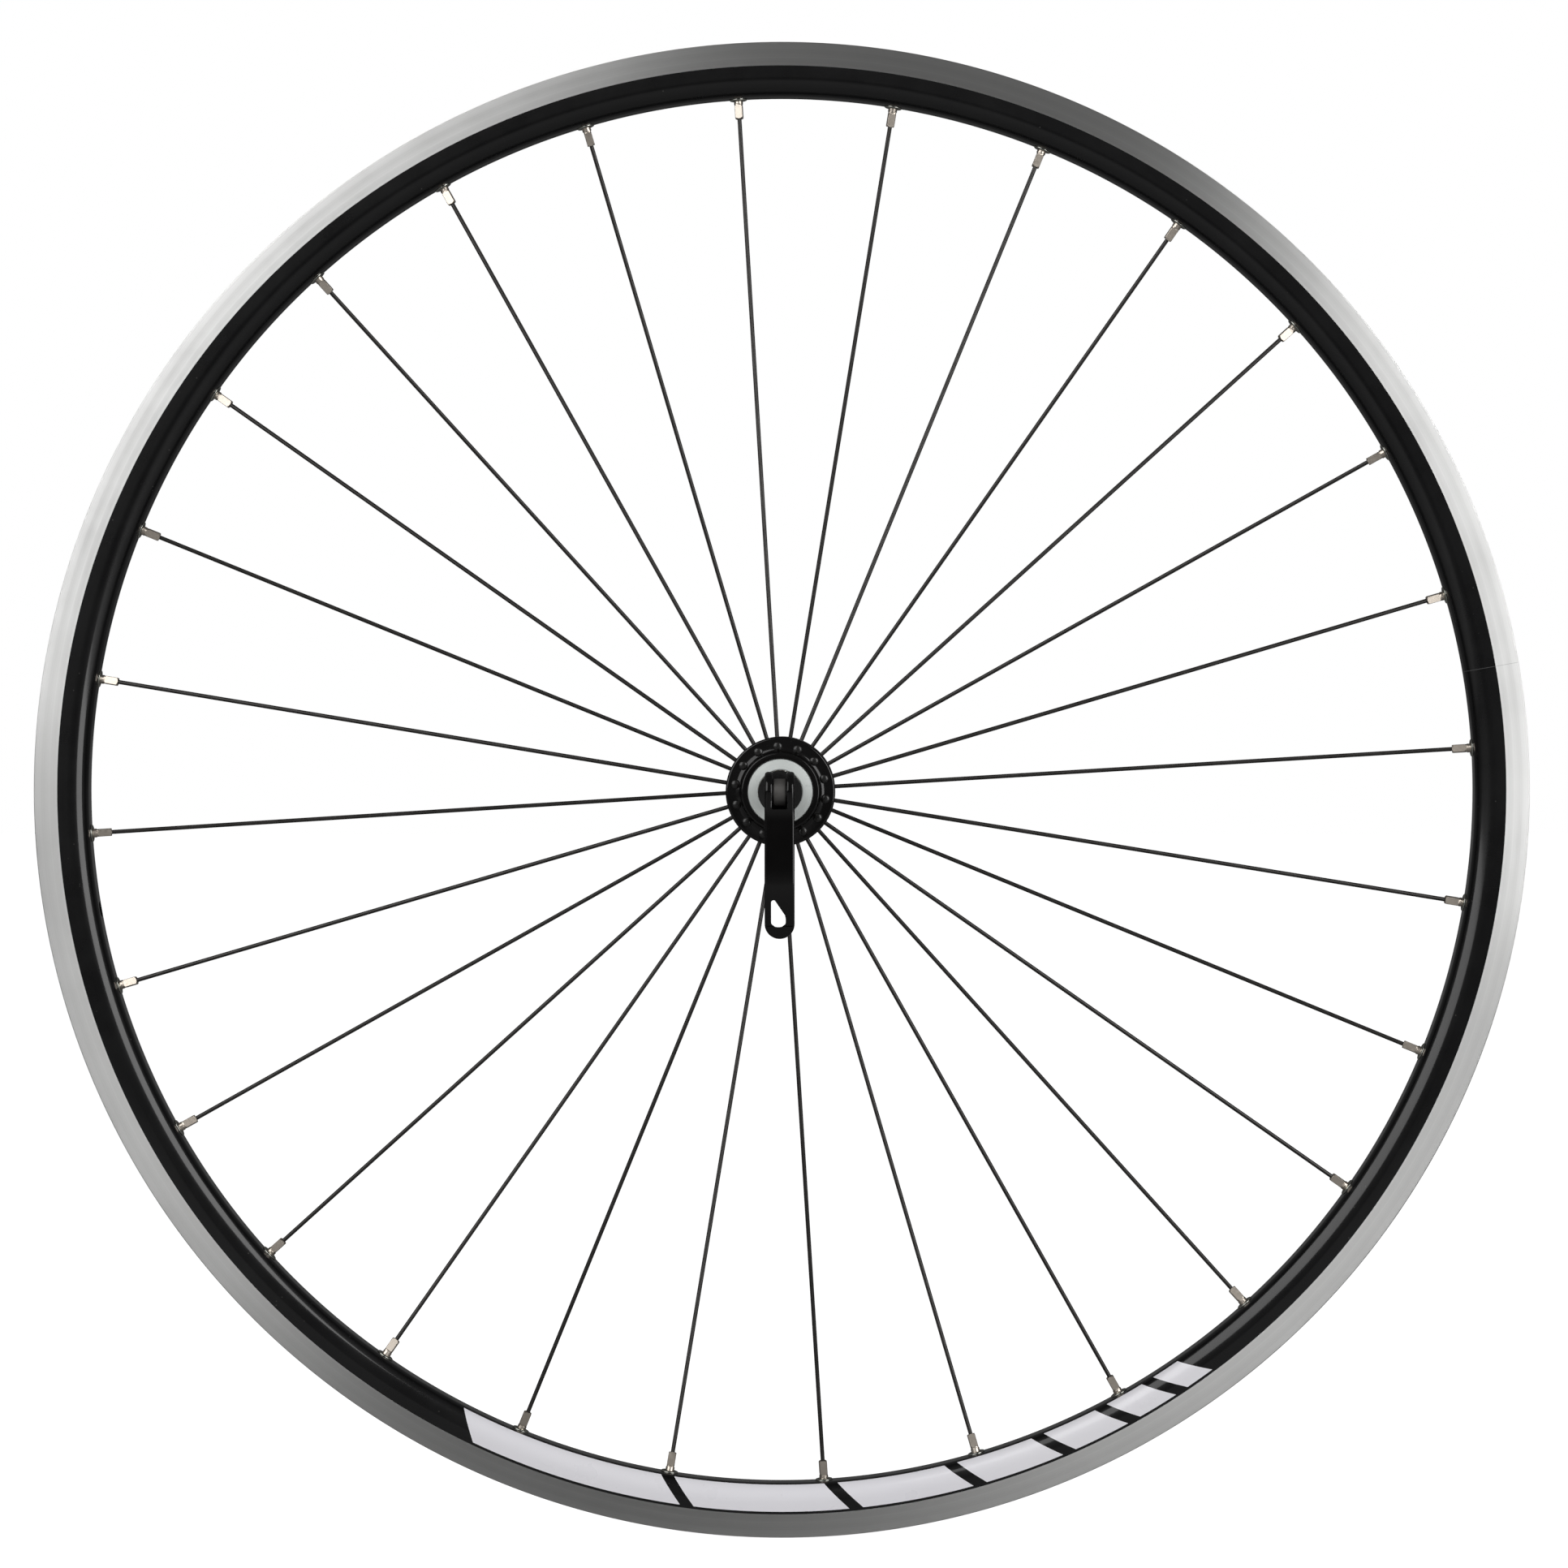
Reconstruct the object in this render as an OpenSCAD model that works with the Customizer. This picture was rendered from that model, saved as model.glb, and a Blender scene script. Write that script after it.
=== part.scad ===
// Road bicycle front wheel: 622 x 13 double-wall clincher rim, 28 radial spokes, cup-and-cone
// hub on a hollow axle, and a quick-release skewer with an external cam lever.
// Modelled with the axle along local Z, lever side at +Z, then turned so that the axle lies
// along Y, the lever side faces -Y and +Z is up.

/* [Rim] */
// Outer radius of the rim, bead seat 311 plus a 6 mm flange
rim_outer_radius = 317; // [300:0.5:330]
// Radius on which the tyre bead sits (622 mm seat)
bead_seat_radius = 311; // [295:0.5:320]
// Inner radius of the rim, the spoke bed
rim_bed_radius = 294.3; // [280:0.1:300]
// Width across the two brake tracks
rim_width = 20.4; // [18:0.1:24]
// Radial height of the bare machined brake track
track_height = 10; // [8:0.5:12]
// Radius below which the painted side starts to curve inwards
band_curve_radius = 303; // [298:0.5:306]
// Half width of the flat spoke bed
bed_half_width = 4; // [3:0.1:6]
// Wall of the sides, the floor and the bed
rim_wall = 1.4; // [1:0.1:2]
// Radius of the tyre well floor
well_radius = 307.8; // [304:0.1:310]
// Diameter of the valve hole
valve_hole_dia = 6.5; // [6:0.1:8.5]
// Angle of the valve hole, anticlockwise from the right, seen from the lever side
valve_angle = 189.9; // [0:0.1:360]

/* [Spokes] */
// Number of spokes on the whole wheel
spoke_count = 28; // [20:2:36]
// Spoke diameter
spoke_dia = 1.8; // [1.5:0.1:2.3]
// Angle of the first spoke, which is one of the far side's
first_spoke_angle = 3.55; // [0:0.01:12]
// Length of a nipple over all
nipple_length = 13; // [12:1:16]
// Width across the nipple's flats
nipple_flats = 3.2; // [3.2:0.01:4]
// Outer diameter of the eyelet's flange
eyelet_dia = 7.6; // [6:0.1:9]

/* [Hub] */
// Diameter of the spoke flanges
flange_dia = 46; // [38:0.5:60]
// Diameter of the circle of spoke holes
hole_circle_dia = 38; // [30:0.5:52]
// Distance from the middle of the wheel to a flange's inner face
flange_inner_z = 33.4; // [28:0.1:38]
// Thickness of a flange
flange_thick = 3.2; // [2.5:0.1:4]
// Radius of the barrel at its middle
barrel_radius = 12.5; // [10:0.1:16]
// Distance over the locknuts, the fork's width
over_locknuts = 100; // [96:0.5:110]
// Length of the hollow axle
axle_length = 108; // [104:0.5:114]
// Diameter of the axle thread
axle_dia = 9; // [8:0.5:10]
// Bore of the axle
axle_bore_dia = 5.4; // [5.1:0.1:6]
// Bearing ball diameter, 3/16 inch
ball_dia = 4.7625; // [3.175:0.0001:6.35]
// Number of balls in each bearing
ball_count = 10; // [8:1:12]
// Radius of the circle through the ball centres
ball_circle_radius = 9; // [8:0.1:11]

/* [Quick release] */
// Skewer rod diameter
rod_dia = 5; // [4.8:0.1:5.2]
// Distance from the middle of the wheel to a clamping face
clamp_face_z = 57; // [55:0.5:60]
// Distance from the middle of the wheel to the lever's pivot
pivot_z = 72; // [68:0.5:76]
// Cam radius when closed
cam_closed_radius = 9.8; // [8:0.1:11]
// Cam lift over half a turn of the lever
cam_lift = 2.4; // [1.5:0.1:4]
// Width of the lever
lever_width = 12.5; // [10:0.1:16]
// Width of the slot between the lever's ears
lever_slot = 5.8; // [5:0.1:8]
// Distance from the pivot to the lever's tip
lever_length = 60.5; // [50:0.5:75]

/* [Hidden] */
$fn = 96;
eps = 0.02;                       // gap between pieces fixed to each other
run = 0.06;                       // radial gap of a running fit
over = 1;                         // overshoot of a cutting body
half_width = rim_width / 2;
curve_steps = 9;                  // facets of the rim's curved side
curve_radial = band_curve_radius - rim_bed_radius;
curve_axial = half_width - bed_half_width;
track_radius = rim_outer_radius - track_height;
floor_under = well_radius - rim_wall;
spoke_pitch = 360 / spoke_count;
side_spokes = spoke_count / 2;
spoke_radius = spoke_dia / 2;
hole_circle = hole_circle_dia / 2;
spoke_start_z = flange_inner_z - spoke_radius - 0.05;
seat_radius = 296.5;               // where the spoke line meets the wheel's mid-plane
spoke_run = seat_radius - hole_circle;
spoke_tilt = atan(spoke_start_z / spoke_run);
spoke_line = sqrt(spoke_run * spoke_run + spoke_start_z * spoke_start_z);
flange_outer_z = flange_inner_z + flange_thick;
collar_radius = 16.9;
collar_end_z = 41.5;
cap_seat_radius = 13.8;
cup_radius = 13.2;
cup_start_z = 31.6;
cup_end_z = 38.4;
ball_radius = ball_dia / 2;
ball_z = 36;
race_radius = ball_radius + run;
axle_radius = axle_dia / 2;
cone_bore = axle_radius + eps;
cone_radius = 8.4;
cone_end_z = 43.9;
washer_start_z = 44;
washer_end_z = 45.4;
locknut_face_z = over_locknuts / 2;
locknut_radius = 8.3;
rod_radius = rod_dia / 2;
rod_gap = 0.1;
cap_radius = 9.25;
cap_thick = 3.4;
recess_radius = 7.4;
recess_depth = 2.3;
cam_washer_radius = 9.35;
cam_washer_z = clamp_face_z + cap_thick + eps;
cam_gap = 0.1;
saddle_radius = 60;
saddle_z = pivot_z - cam_closed_radius - cam_gap;
pin_radius = 3;
eye_radius = 5.8;
eye_width = 5.4;
wire_radius = 0.5;
spring_turns = 3.5;
spring_low = 3.55;
spring_high = 6.7;
sleeve_angle = joint_angle();
row_pitch = 360 / side_spokes;
left_phase = first_spoke_angle + spoke_pitch;   // lever side
right_phase = first_spoke_angle;

function joint_angle() = valve_angle - 180;     // the extrusion's ends meet opposite the valve

// Turns the modelling frame into the wheel's own: axle along Y, lever side at -Y.
module upright() { rotate([90, 0, 0]) children(); }
// Puts a turned piece made for the lever side on the other side.
module far_side() { rotate([180, 0, 0]) children(); }
module at_angle(a) { rotate([0, 0, a]) children(); }

// ---- rim ----------------------------------------------------------------------------------
// One quarter ellipse carries the side from the track's width to the flat bed.
function side_curve(inset, lift) = [for (i = [0:curve_steps])
    let (u = 90 * i / curve_steps)
    [band_curve_radius - (curve_radial - inset) * sin(u),
     bed_half_width + (curve_axial - inset + lift) * cos(u)]];
function mirrored(p) = [for (i = [len(p) - 1:-1:0]) [p[i][0], -p[i][1]]];

hook_top = 8.2;
hook_inner = 7.8;
hook_height = 2;
hook_slope = 0.8;
seat_half_width = 8.7;
seat_edge = 6.6;
well_half_width = 3.8;
edge_break = 0.3;

module rim_outline() {
    half = concat(
        [[rim_outer_radius, hook_top], [rim_outer_radius, half_width - edge_break],
         [rim_outer_radius - edge_break, half_width]],
        side_curve(0, 0));
    well = [[rim_outer_radius - hook_slope, hook_inner],
            [rim_outer_radius - hook_height, hook_inner],
            [rim_outer_radius - hook_height - hook_slope, seat_half_width],
            [bead_seat_radius, seat_half_width], [bead_seat_radius, seat_edge],
            [well_radius + 0.6, well_half_width + 0.8], [well_radius, well_half_width]];
    polygon(concat(half, mirrored(half), well_back(well), mirrored_forward(well)));
}
function well_back(w) = [for (p = w) [p[0], -p[1]]];
function mirrored_forward(w) = [for (i = [len(w) - 1:-1:0]) w[i]];

module cavity_outline() {
    half = concat([[floor_under, 0], [floor_under, well_half_width],
                   [bead_seat_radius - rim_wall - 0.4, seat_edge + 0.5],
                   [bead_seat_radius - rim_wall - 0.4, half_width - rim_wall - 0.2]],
                  side_curve(rim_wall, 0));
    polygon(concat(half, mirrored(half)));
}

spoke_hole_radius = 2.72;
access_radius = 4.2;
module rim() {
    color("dimgray") upright() difference() {
        rotate_extrude() rim_outline();
        rotate_extrude() cavity_outline();
        for (i = [0:spoke_count - 1]) at_angle(first_spoke_angle + i * spoke_pitch) {
            translate([rim_bed_radius - over, 0, 0]) rotate([0, 90, 0])
                cylinder(r = spoke_hole_radius, h = rim_wall + 2 * over);
            translate([floor_under - over, 0, 0]) rotate([0, 90, 0])
                cylinder(r = access_radius, h = rim_wall + 4 * over);
        }
        at_angle(valve_angle) translate([rim_bed_radius - over, 0, 0]) rotate([0, 90, 0])
            cylinder(d = valve_hole_dia, h = rim_outer_radius - rim_bed_radius);
    }
}

// The sleeve inside the box section that carries the extrusion's two ends.
sleeve_half_angle = 4.6;
sleeve_gap = 0.1;
sleeve_wall = 1.6;
module sleeve_outline(inset) {
    half = concat([[floor_under - inset, 0], [floor_under - inset, well_half_width]],
                  side_curve(rim_wall + inset, 0));
    polygon(concat(half, mirrored(half)));
}
module rim_joint_sleeve() {
    color("silver") upright() at_angle(sleeve_angle - sleeve_half_angle)
        difference() {
            rotate_extrude(angle = 2 * sleeve_half_angle) sleeve_outline(sleeve_gap);
            rotate([0, 0, -1]) rotate_extrude(angle = 2 * sleeve_half_angle + 2)
                sleeve_outline(sleeve_gap + sleeve_wall);
        }
}

eyelet_bore = 2.4;
barrel_outer = 2.68;
module eyelets() {
    flange = eyelet_dia / 2;
    foot = rim_bed_radius - 0.05;
    top = rim_bed_radius + rim_wall + eps;
    color("lightgray") upright()
        for (i = [0:spoke_count - 1]) at_angle(first_spoke_angle + i * spoke_pitch)
            rotate([0, 90, 0]) rotate_extrude()
                polygon([[eyelet_bore, foot - 0.75], [eyelet_bore + 0.5, foot - 0.9],
                         [flange - 0.4, foot - 0.6], [flange, foot - 0.2], [flange, foot],
                         [barrel_outer, foot], [barrel_outer, top], [barrel_outer + 0.4, top],
                         [barrel_outer + 0.4, top + 0.35], [barrel_outer, top + 0.58],
                         [eyelet_bore, top + 0.58]]);
}

// ---- spokes and nipples ---------------------------------------------------------------------
spoke_end = spoke_line + 1;
head_radius = 1.95;
head_rim = 0.35;
head_dome = 0.55;
module spoke(side) {
    translate([hole_circle, 0, side * spoke_start_z]) {
        rotate([0, 90 + side * spoke_tilt, 0]) cylinder(r = spoke_radius, h = spoke_end);
        sphere(r = spoke_radius + 0.02);
        rotate([side > 0 ? 0 : 180, 0, 0]) {
            cylinder(r = spoke_radius, h = flange_outer_z - spoke_start_z + head_rim);
            translate([0, 0, flange_outer_z - spoke_start_z + eps]) {
                cylinder(r = head_radius, h = head_rim);
                translate([0, 0, head_rim]) cylinder(r1 = head_radius, r2 = 1.1, h = head_dome);
            }
        }
    }
}
module spokes_left() {
    color("black") upright()
        for (i = [0:side_spokes - 1]) at_angle(left_phase + i * row_pitch) spoke(1);
}
module spokes_right() {
    color("black") upright()
        for (i = [0:side_spokes - 1]) at_angle(right_phase + i * row_pitch) spoke(-1);
}

nipple_top = 2.2;
nipple_head = 3;
nipple_shank = 1.9;
nipple_round_to = -5;
nipple_bore = spoke_radius + 0.03;
slot_width = 1;
slot_depth = 0.9;
module nipple() {
    bottom = nipple_top - nipple_length;
    difference() {
        union() {
            translate([0, 0, nipple_round_to]) cylinder(r = nipple_shank, h = 0.3 - nipple_round_to);
            translate([0, 0, -0.1]) cylinder(r1 = nipple_shank + 0.1, r2 = nipple_head, h = 1);
            translate([0, 0, 0.9]) cylinder(r = nipple_head, h = 0.6);
            translate([0, 0, 1.5]) cylinder(r1 = nipple_head, r2 = nipple_head - 0.7, h = nipple_top - 1.5);
            intersection() {
                translate([-nipple_flats / 2, -nipple_flats / 2, bottom])
                    cube([nipple_flats, nipple_flats, nipple_round_to - bottom + 0.5]);
                translate([0, 0, bottom]) union() {
                    cylinder(r1 = 1.5, r2 = 2.15, h = 0.8);
                    translate([0, 0, 0.8]) cylinder(r = 2.15, h = nipple_round_to - bottom - 1.1);
                    translate([0, 0, nipple_round_to - bottom - 0.3]) cylinder(r1 = 2.15, r2 = 1.85, h = 0.8);
                }
            }
        }
        translate([0, 0, bottom - over]) cylinder(r = nipple_bore, h = nipple_length + 2 * over);
        translate([-slot_width / 2, -nipple_head - over, nipple_top - slot_depth])
            cube([slot_width, 2 * (nipple_head + over), slot_depth + over]);
    }
}
module nipple_row(phase, side) {
    for (i = [0:side_spokes - 1]) at_angle(phase + i * row_pitch)
        translate([seat_radius, 0, 0]) rotate([0, 90 + side * spoke_tilt, 0]) nipple();
}
module nipples_left() { color("silver") upright() nipple_row(left_phase, 1); }
module nipples_right() { color("silver") upright() nipple_row(right_phase, -1); }

// ---- plain stripe film on the painted side --------------------------------------------------
// A row of slanted blocks, each shorter than the one before. No lettering.
film_thick = 0.12;
stripe_start = 242.8;
stripe_span = 62;
stripe_blocks = 7;
stripe_shrink = 0.72;
stripe_gap = 1.5;
stripe_slant = 1.4;
stripe_inner = 295.6;
stripe_outer = 302.6;
function shrink_sum(n) = n <= 0 ? 0 : pow(stripe_shrink, n - 1) + shrink_sum(n - 1);
block_unit = (stripe_span - (stripe_blocks - 1) * stripe_gap) / shrink_sum(stripe_blocks);
function block_start(i) = block_unit * shrink_sum(i) + i * stripe_gap;
function polar(r, a) = [r * cos(a), r * sin(a)];
module stripe_film() {
    intersection() {
        difference() {
            rotate_extrude() polygon(concat([[rim_bed_radius, 0], [band_curve_radius, 0]],
                side_curve(0, film_thick)));
            rotate_extrude() polygon(concat([[rim_bed_radius - over, bed_half_width],
                [rim_bed_radius - over, -over], [band_curve_radius + over, -over],
                [band_curve_radius + over, half_width]], side_curve(0, eps)));
        }
        translate([0, 0, over]) linear_extrude(height = half_width)
            for (i = [0:stripe_blocks - 1])
                let (a0 = block_start(i), a1 = a0 + block_unit * pow(stripe_shrink, i), steps = 6)
                polygon(concat(
                    [for (k = [0:steps]) polar(stripe_outer, a0 + stripe_slant + (a1 - a0) * k / steps)],
                    [for (k = [steps:-1:0]) polar(stripe_inner, a0 + (a1 - a0) * k / steps)]));
    }
}
module decal_left() { color("white") upright() at_angle(stripe_start) stripe_film(); }
module decal_right() {
    color("white") upright() far_side() at_angle(stripe_start) stripe_film();
}

// ---- hub ------------------------------------------------------------------------------------
flange_edge = 0.6;
barrel_flat_z = 24;
barrel_flare = 16.2;
collar_fillet = 0.6;
hub_hole_radius = 1.3;
inner_bore = 10.4;
lip_bore = 8;
lip_thick = 2.4;
module hub_half_outline() {
    polygon([[0, 0], [barrel_radius, 0], [barrel_radius, barrel_flat_z],
             [barrel_radius + 0.9, barrel_flat_z + 4], [barrel_flare - 1, flange_inner_z - 2.2],
             [barrel_flare, flange_inner_z], [flange_dia / 2 - flange_edge, flange_inner_z],
             [flange_dia / 2, flange_inner_z + flange_edge],
             [flange_dia / 2, flange_outer_z - flange_edge],
             [flange_dia / 2 - flange_edge, flange_outer_z],
             [collar_radius + collar_fillet, flange_outer_z],
             [collar_radius, flange_outer_z + collar_fillet],
             [collar_radius, collar_end_z - 0.5], [collar_radius - 0.5, collar_end_z],
             [0, collar_end_z]]);
}
module hub_half_bore() {
    cylinder(r = inner_bore, h = cup_start_z - lip_thick);
    cylinder(r = lip_bore, h = cup_start_z + over);
    translate([0, 0, cup_start_z]) cylinder(r = cup_radius + eps, h = cup_end_z - cup_start_z + over);
    translate([0, 0, cup_end_z + eps]) cylinder(r = cap_seat_radius, h = collar_end_z);
}
module hub_shell() {
    color("black") upright() difference() {
        union() {
            rotate_extrude() hub_half_outline();
            far_side() rotate_extrude() hub_half_outline();
        }
        hub_half_bore();
        far_side() hub_half_bore();
        for (i = [0:side_spokes - 1]) {
            at_angle(left_phase + i * row_pitch) translate([hole_circle, 0, flange_inner_z - over])
                cylinder(r = hub_hole_radius, h = flange_thick + 2 * over);
            at_angle(right_phase + i * row_pitch) translate([hole_circle, 0, -flange_outer_z - over])
                cylinder(r = hub_hole_radius, h = flange_thick + 2 * over);
        }
    }
}

module race() { rotate_extrude() translate([ball_circle_radius, ball_z]) circle(r = race_radius); }
module cup() {
    difference() {
        translate([0, 0, cup_start_z + eps]) cylinder(r = cup_radius, h = cup_end_z - cup_start_z - eps);
        race();
        translate([0, 0, ball_z]) cylinder(r = ball_circle_radius + race_radius, h = cup_end_z);
        cylinder(r = lip_bore, h = cup_end_z);
    }
}
module bearing_cup_left() { color("gray") upright() cup(); }
module bearing_cup_right() { color("gray") upright() far_side() cup(); }

module balls() {
    for (i = [0:ball_count - 1]) at_angle(i * 360 / ball_count)
        translate([ball_circle_radius, 0, ball_z]) sphere(r = ball_radius);
}
module bearing_balls_left() { color("silver") upright() balls(); }
module bearing_balls_right() { color("silver") upright() far_side() balls(); }

cap_inner = 9.2;
cap_skin = 0.6;
cap_top_z = 41;
module dust_cap() {
    rotate_extrude() polygon([
        [cap_inner, cap_top_z - 0.5 - cap_skin], [cap_inner + cap_skin, cap_top_z - 0.5 - cap_skin],
        [cap_inner + cap_skin, cap_top_z - cap_skin], [cap_seat_radius - cap_skin - eps, cap_top_z - cap_skin],
        [cap_seat_radius - cap_skin - eps, cup_end_z + 0.1], [cap_seat_radius - eps, cup_end_z + 0.1],
        [cap_seat_radius - eps, cap_top_z - 0.3], [cap_seat_radius - 0.3 - eps, cap_top_z],
        [cap_inner + 0.3, cap_top_z], [cap_inner, cap_top_z - 0.3]]);
}
module dust_cap_left() { color("silver") upright() dust_cap(); }
module dust_cap_right() { color("silver") upright() far_side() dust_cap(); }

end_chamfer = 0.5;
module axle() {
    color("gray") upright() rotate_extrude() polygon([
        [axle_bore_dia / 2, -axle_length / 2], [axle_radius - end_chamfer, -axle_length / 2],
        [axle_radius, -axle_length / 2 + end_chamfer], [axle_radius, axle_length / 2 - end_chamfer],
        [axle_radius - end_chamfer, axle_length / 2], [axle_bore_dia / 2, axle_length / 2]]);
}

cone_flats = 13;
cone_shoulder_z = 41.4;
module cone() {
    difference() {
        union() {
            translate([0, 0, 33.4]) cylinder(r1 = 6.2, r2 = cone_radius, h = 3.4);
            translate([0, 0, 36.8]) cylinder(r = cone_radius, h = cone_shoulder_z - 36.8);
            intersection() {
                translate([0, 0, cone_shoulder_z - 0.1]) cylinder(r = cone_radius - 0.6, h = cone_end_z - cone_shoulder_z + 0.1);
                translate([-cone_flats / 2, -cone_radius, 0]) cube([cone_flats, 2 * cone_radius, cone_end_z]);
            }
        }
        race();
        cylinder(r = cone_bore, h = cone_end_z + over);
    }
}
module cone_left() { color("gray") upright() cone(); }
module cone_right() { color("gray") upright() far_side() cone(); }

washer_radius = 7.9;
module lock_washer() {
    difference() {
        translate([0, 0, washer_start_z]) cylinder(r = washer_radius, h = washer_end_z - washer_start_z);
        cylinder(r = cone_bore, h = washer_end_z + over);
    }
}
module lock_washer_left() { color("silver") upright() lock_washer(); }
module lock_washer_right() { color("silver") upright() far_side() lock_washer(); }

// The locknut's face has radial grips, and stays flat and unbroken inside them.
grip_count = 24;
grip_inner = 6.4;
locknut_start_z = washer_end_z + 0.1;
module radial_grips(inner, outer, z, count, width) {
    for (i = [0:count - 1]) at_angle(i * 360 / count)
        translate([inner, 0, z]) rotate([0, 90, 0])
            rotate([0, 0, 45]) translate([-width / 2, -width / 2, 0]) cube([width, width, outer - inner + over]);
}
module locknut() {
    difference() {
        union() {
            translate([0, 0, locknut_start_z]) cylinder(r = locknut_radius, h = locknut_face_z - locknut_start_z - 0.4);
            translate([0, 0, locknut_face_z - 0.4]) cylinder(r1 = locknut_radius, r2 = locknut_radius - 0.4, h = 0.4);
        }
        translate([0, 0, locknut_start_z - over]) cylinder(r = cone_bore, h = locknut_face_z);
        radial_grips(grip_inner, locknut_radius, locknut_face_z, grip_count, 0.7);
        for (s = [0, 180]) at_angle(s) translate([7.5, -locknut_radius, locknut_start_z - over])
            cube([over * 2, 2 * locknut_radius, 3.2 + over]);
    }
}
module locknut_left() { color("silver") upright() locknut(); }
module locknut_right() { color("silver") upright() far_side() locknut(); }

// ---- quick release ----------------------------------------------------------------------------
teeth_count = 30;
tooth_width = 0.8;
tooth_depth = 0.45;
// The gaps between the teeth of a gripping face, square in section and open at the rim.
module face_notches() {
    for (i = [0:teeth_count - 1]) at_angle((i + 0.5) * 360 / teeth_count)
        translate([recess_radius + 0.4, -tooth_width / 2, clamp_face_z - over]) cube([cap_radius, tooth_width, tooth_depth + over]);
}
module end_cap() {
    color("silver") upright() difference() {
        union() {
            translate([0, 0, clamp_face_z]) cylinder(r = cap_radius, h = cap_thick - 0.4);
            translate([0, 0, clamp_face_z + cap_thick - 0.4]) cylinder(r1 = cap_radius, r2 = cap_radius - 0.4, h = 0.4);
        }
        translate([0, 0, clamp_face_z - over]) cylinder(r = rod_radius + rod_gap, h = cap_thick + 2 * over);
        translate([0, 0, clamp_face_z - over]) cylinder(r = recess_radius, h = recess_depth + over);
        face_notches();
    }
}

module cam_washer() {
    saddle_top = 1;
    color("black") upright() difference() {
        translate([0, 0, cam_washer_z]) cylinder(r = cam_washer_radius, h = saddle_z + saddle_top - cam_washer_z);
        translate([0, 0, cam_washer_z - over]) cylinder(r = rod_radius + rod_gap, h = cam_closed_radius);
        translate([-cam_washer_radius - over, 0, saddle_z + saddle_radius]) rotate([0, 90, 0])
            cylinder(r = saddle_radius, h = 2 * (cam_washer_radius + over), $fn = 480);
    }
}

// A conical spring, as a wire swept along a widening helix.
ring_points = 8;
turn_steps = 20;
spring_steps = spring_turns * turn_steps;
function wire_centre(k) = let (t = k / spring_steps) [spring_low + (spring_high - spring_low) * t,
    spring_foot_z + (spring_seat_z - spring_foot_z) * t, 360 * spring_turns * t];
spring_foot_z = axle_length / 2 + wire_radius + 0.05;
spring_seat_z = clamp_face_z + recess_depth - wire_radius - 0.05;
module spring() {
    points = [for (k = [0:spring_steps]) let (c = wire_centre(k)) for (j = [0:ring_points - 1])
        let (u = 360 * j / ring_points, r = c[0] + wire_radius * cos(u))
        [r * cos(c[2]), r * sin(c[2]), c[1] + wire_radius * sin(u)]];
    last = spring_steps * ring_points;
    sides = [for (k = [0:spring_steps - 1]) for (j = [0:ring_points - 1])
        let (n = (j + 1) % ring_points, a = k * ring_points, b = a + ring_points)
        [a + j, a + n, b + n, b + j]];
    ends = [[for (j = [ring_points - 1:-1:0]) j], [for (j = [0:ring_points - 1]) last + j]];
    polyhedron(points = points, faces = concat(sides, ends), convexity = 8);
}
module spring_left() { color("silver") upright() spring(); }
module spring_right() { color("silver") upright() far_side() spring(); }

rod_end_z = 69.5;
module skewer_rod() {
    color("silver") upright() difference() {
        union() {
            translate([0, 0, -rod_end_z + 0.6]) cylinder(r = rod_radius, h = rod_end_z + pivot_z - 3.6);
            translate([0, 0, -rod_end_z]) cylinder(r1 = rod_radius - 0.5, r2 = rod_radius, h = 0.6);
            translate([-eye_width / 2, 0, pivot_z]) rotate([0, 90, 0]) cylinder(r = eye_radius, h = eye_width);
        }
        translate([-eye_width, 0, pivot_z]) rotate([0, 90, 0]) cylinder(r = pin_radius + eps, h = 2 * eye_width);
    }
}
pin_half_length = 5.9;
module pivot_barrel() {
    color("gray") upright() translate([-pin_half_length, 0, pivot_z]) rotate([0, 90, 0])
        cylinder(r = pin_radius, h = 2 * pin_half_length);
}

// The lever's side outline: y is up, w points outwards from the pivot. The cam is a spiral, so
// each degree of lever gives the same lift.
function cam_radius(a) = cam_closed_radius - cam_lift * a / 180;
cam_steps = 36;
slot_bottom = -7.2;
tip_round = 6.25;
function lever_side() = concat(
    [for (i = [0:cam_steps]) let (a = 180 * i / cam_steps) [cam_radius(a) * sin(a), -cam_radius(a) * cos(a)]],
    [[-3, 7.2], [-6, 6.95], [-10, 6.65], [-14, 6.6], [-28, 6.5], [-40, 6.2], [-45.5, 5.4], [-52, 3.6], [-lever_length, 1],
     [-lever_length, -1], [-52, 1], [-45.5, 2.6], [-40, 3.2], [-28, 3.2], [-16, 2], [-12.5, 0], [-10.5, -3]],
    [for (a = [-52:8:-4]) [cam_closed_radius * sin(a), -cam_closed_radius * cos(a)]]);
module lever_window() {
    window_left = -3.5;
    translate([window_left + 1.05, -45.2]) circle(r = 1.05);
    translate([window_left + 3, -52.3]) circle(r = 3);
    polygon([[window_left, -45.2], [-1.5, -44.75], [2.4, -51.5], [window_left, -52.3]]);
}
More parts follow.
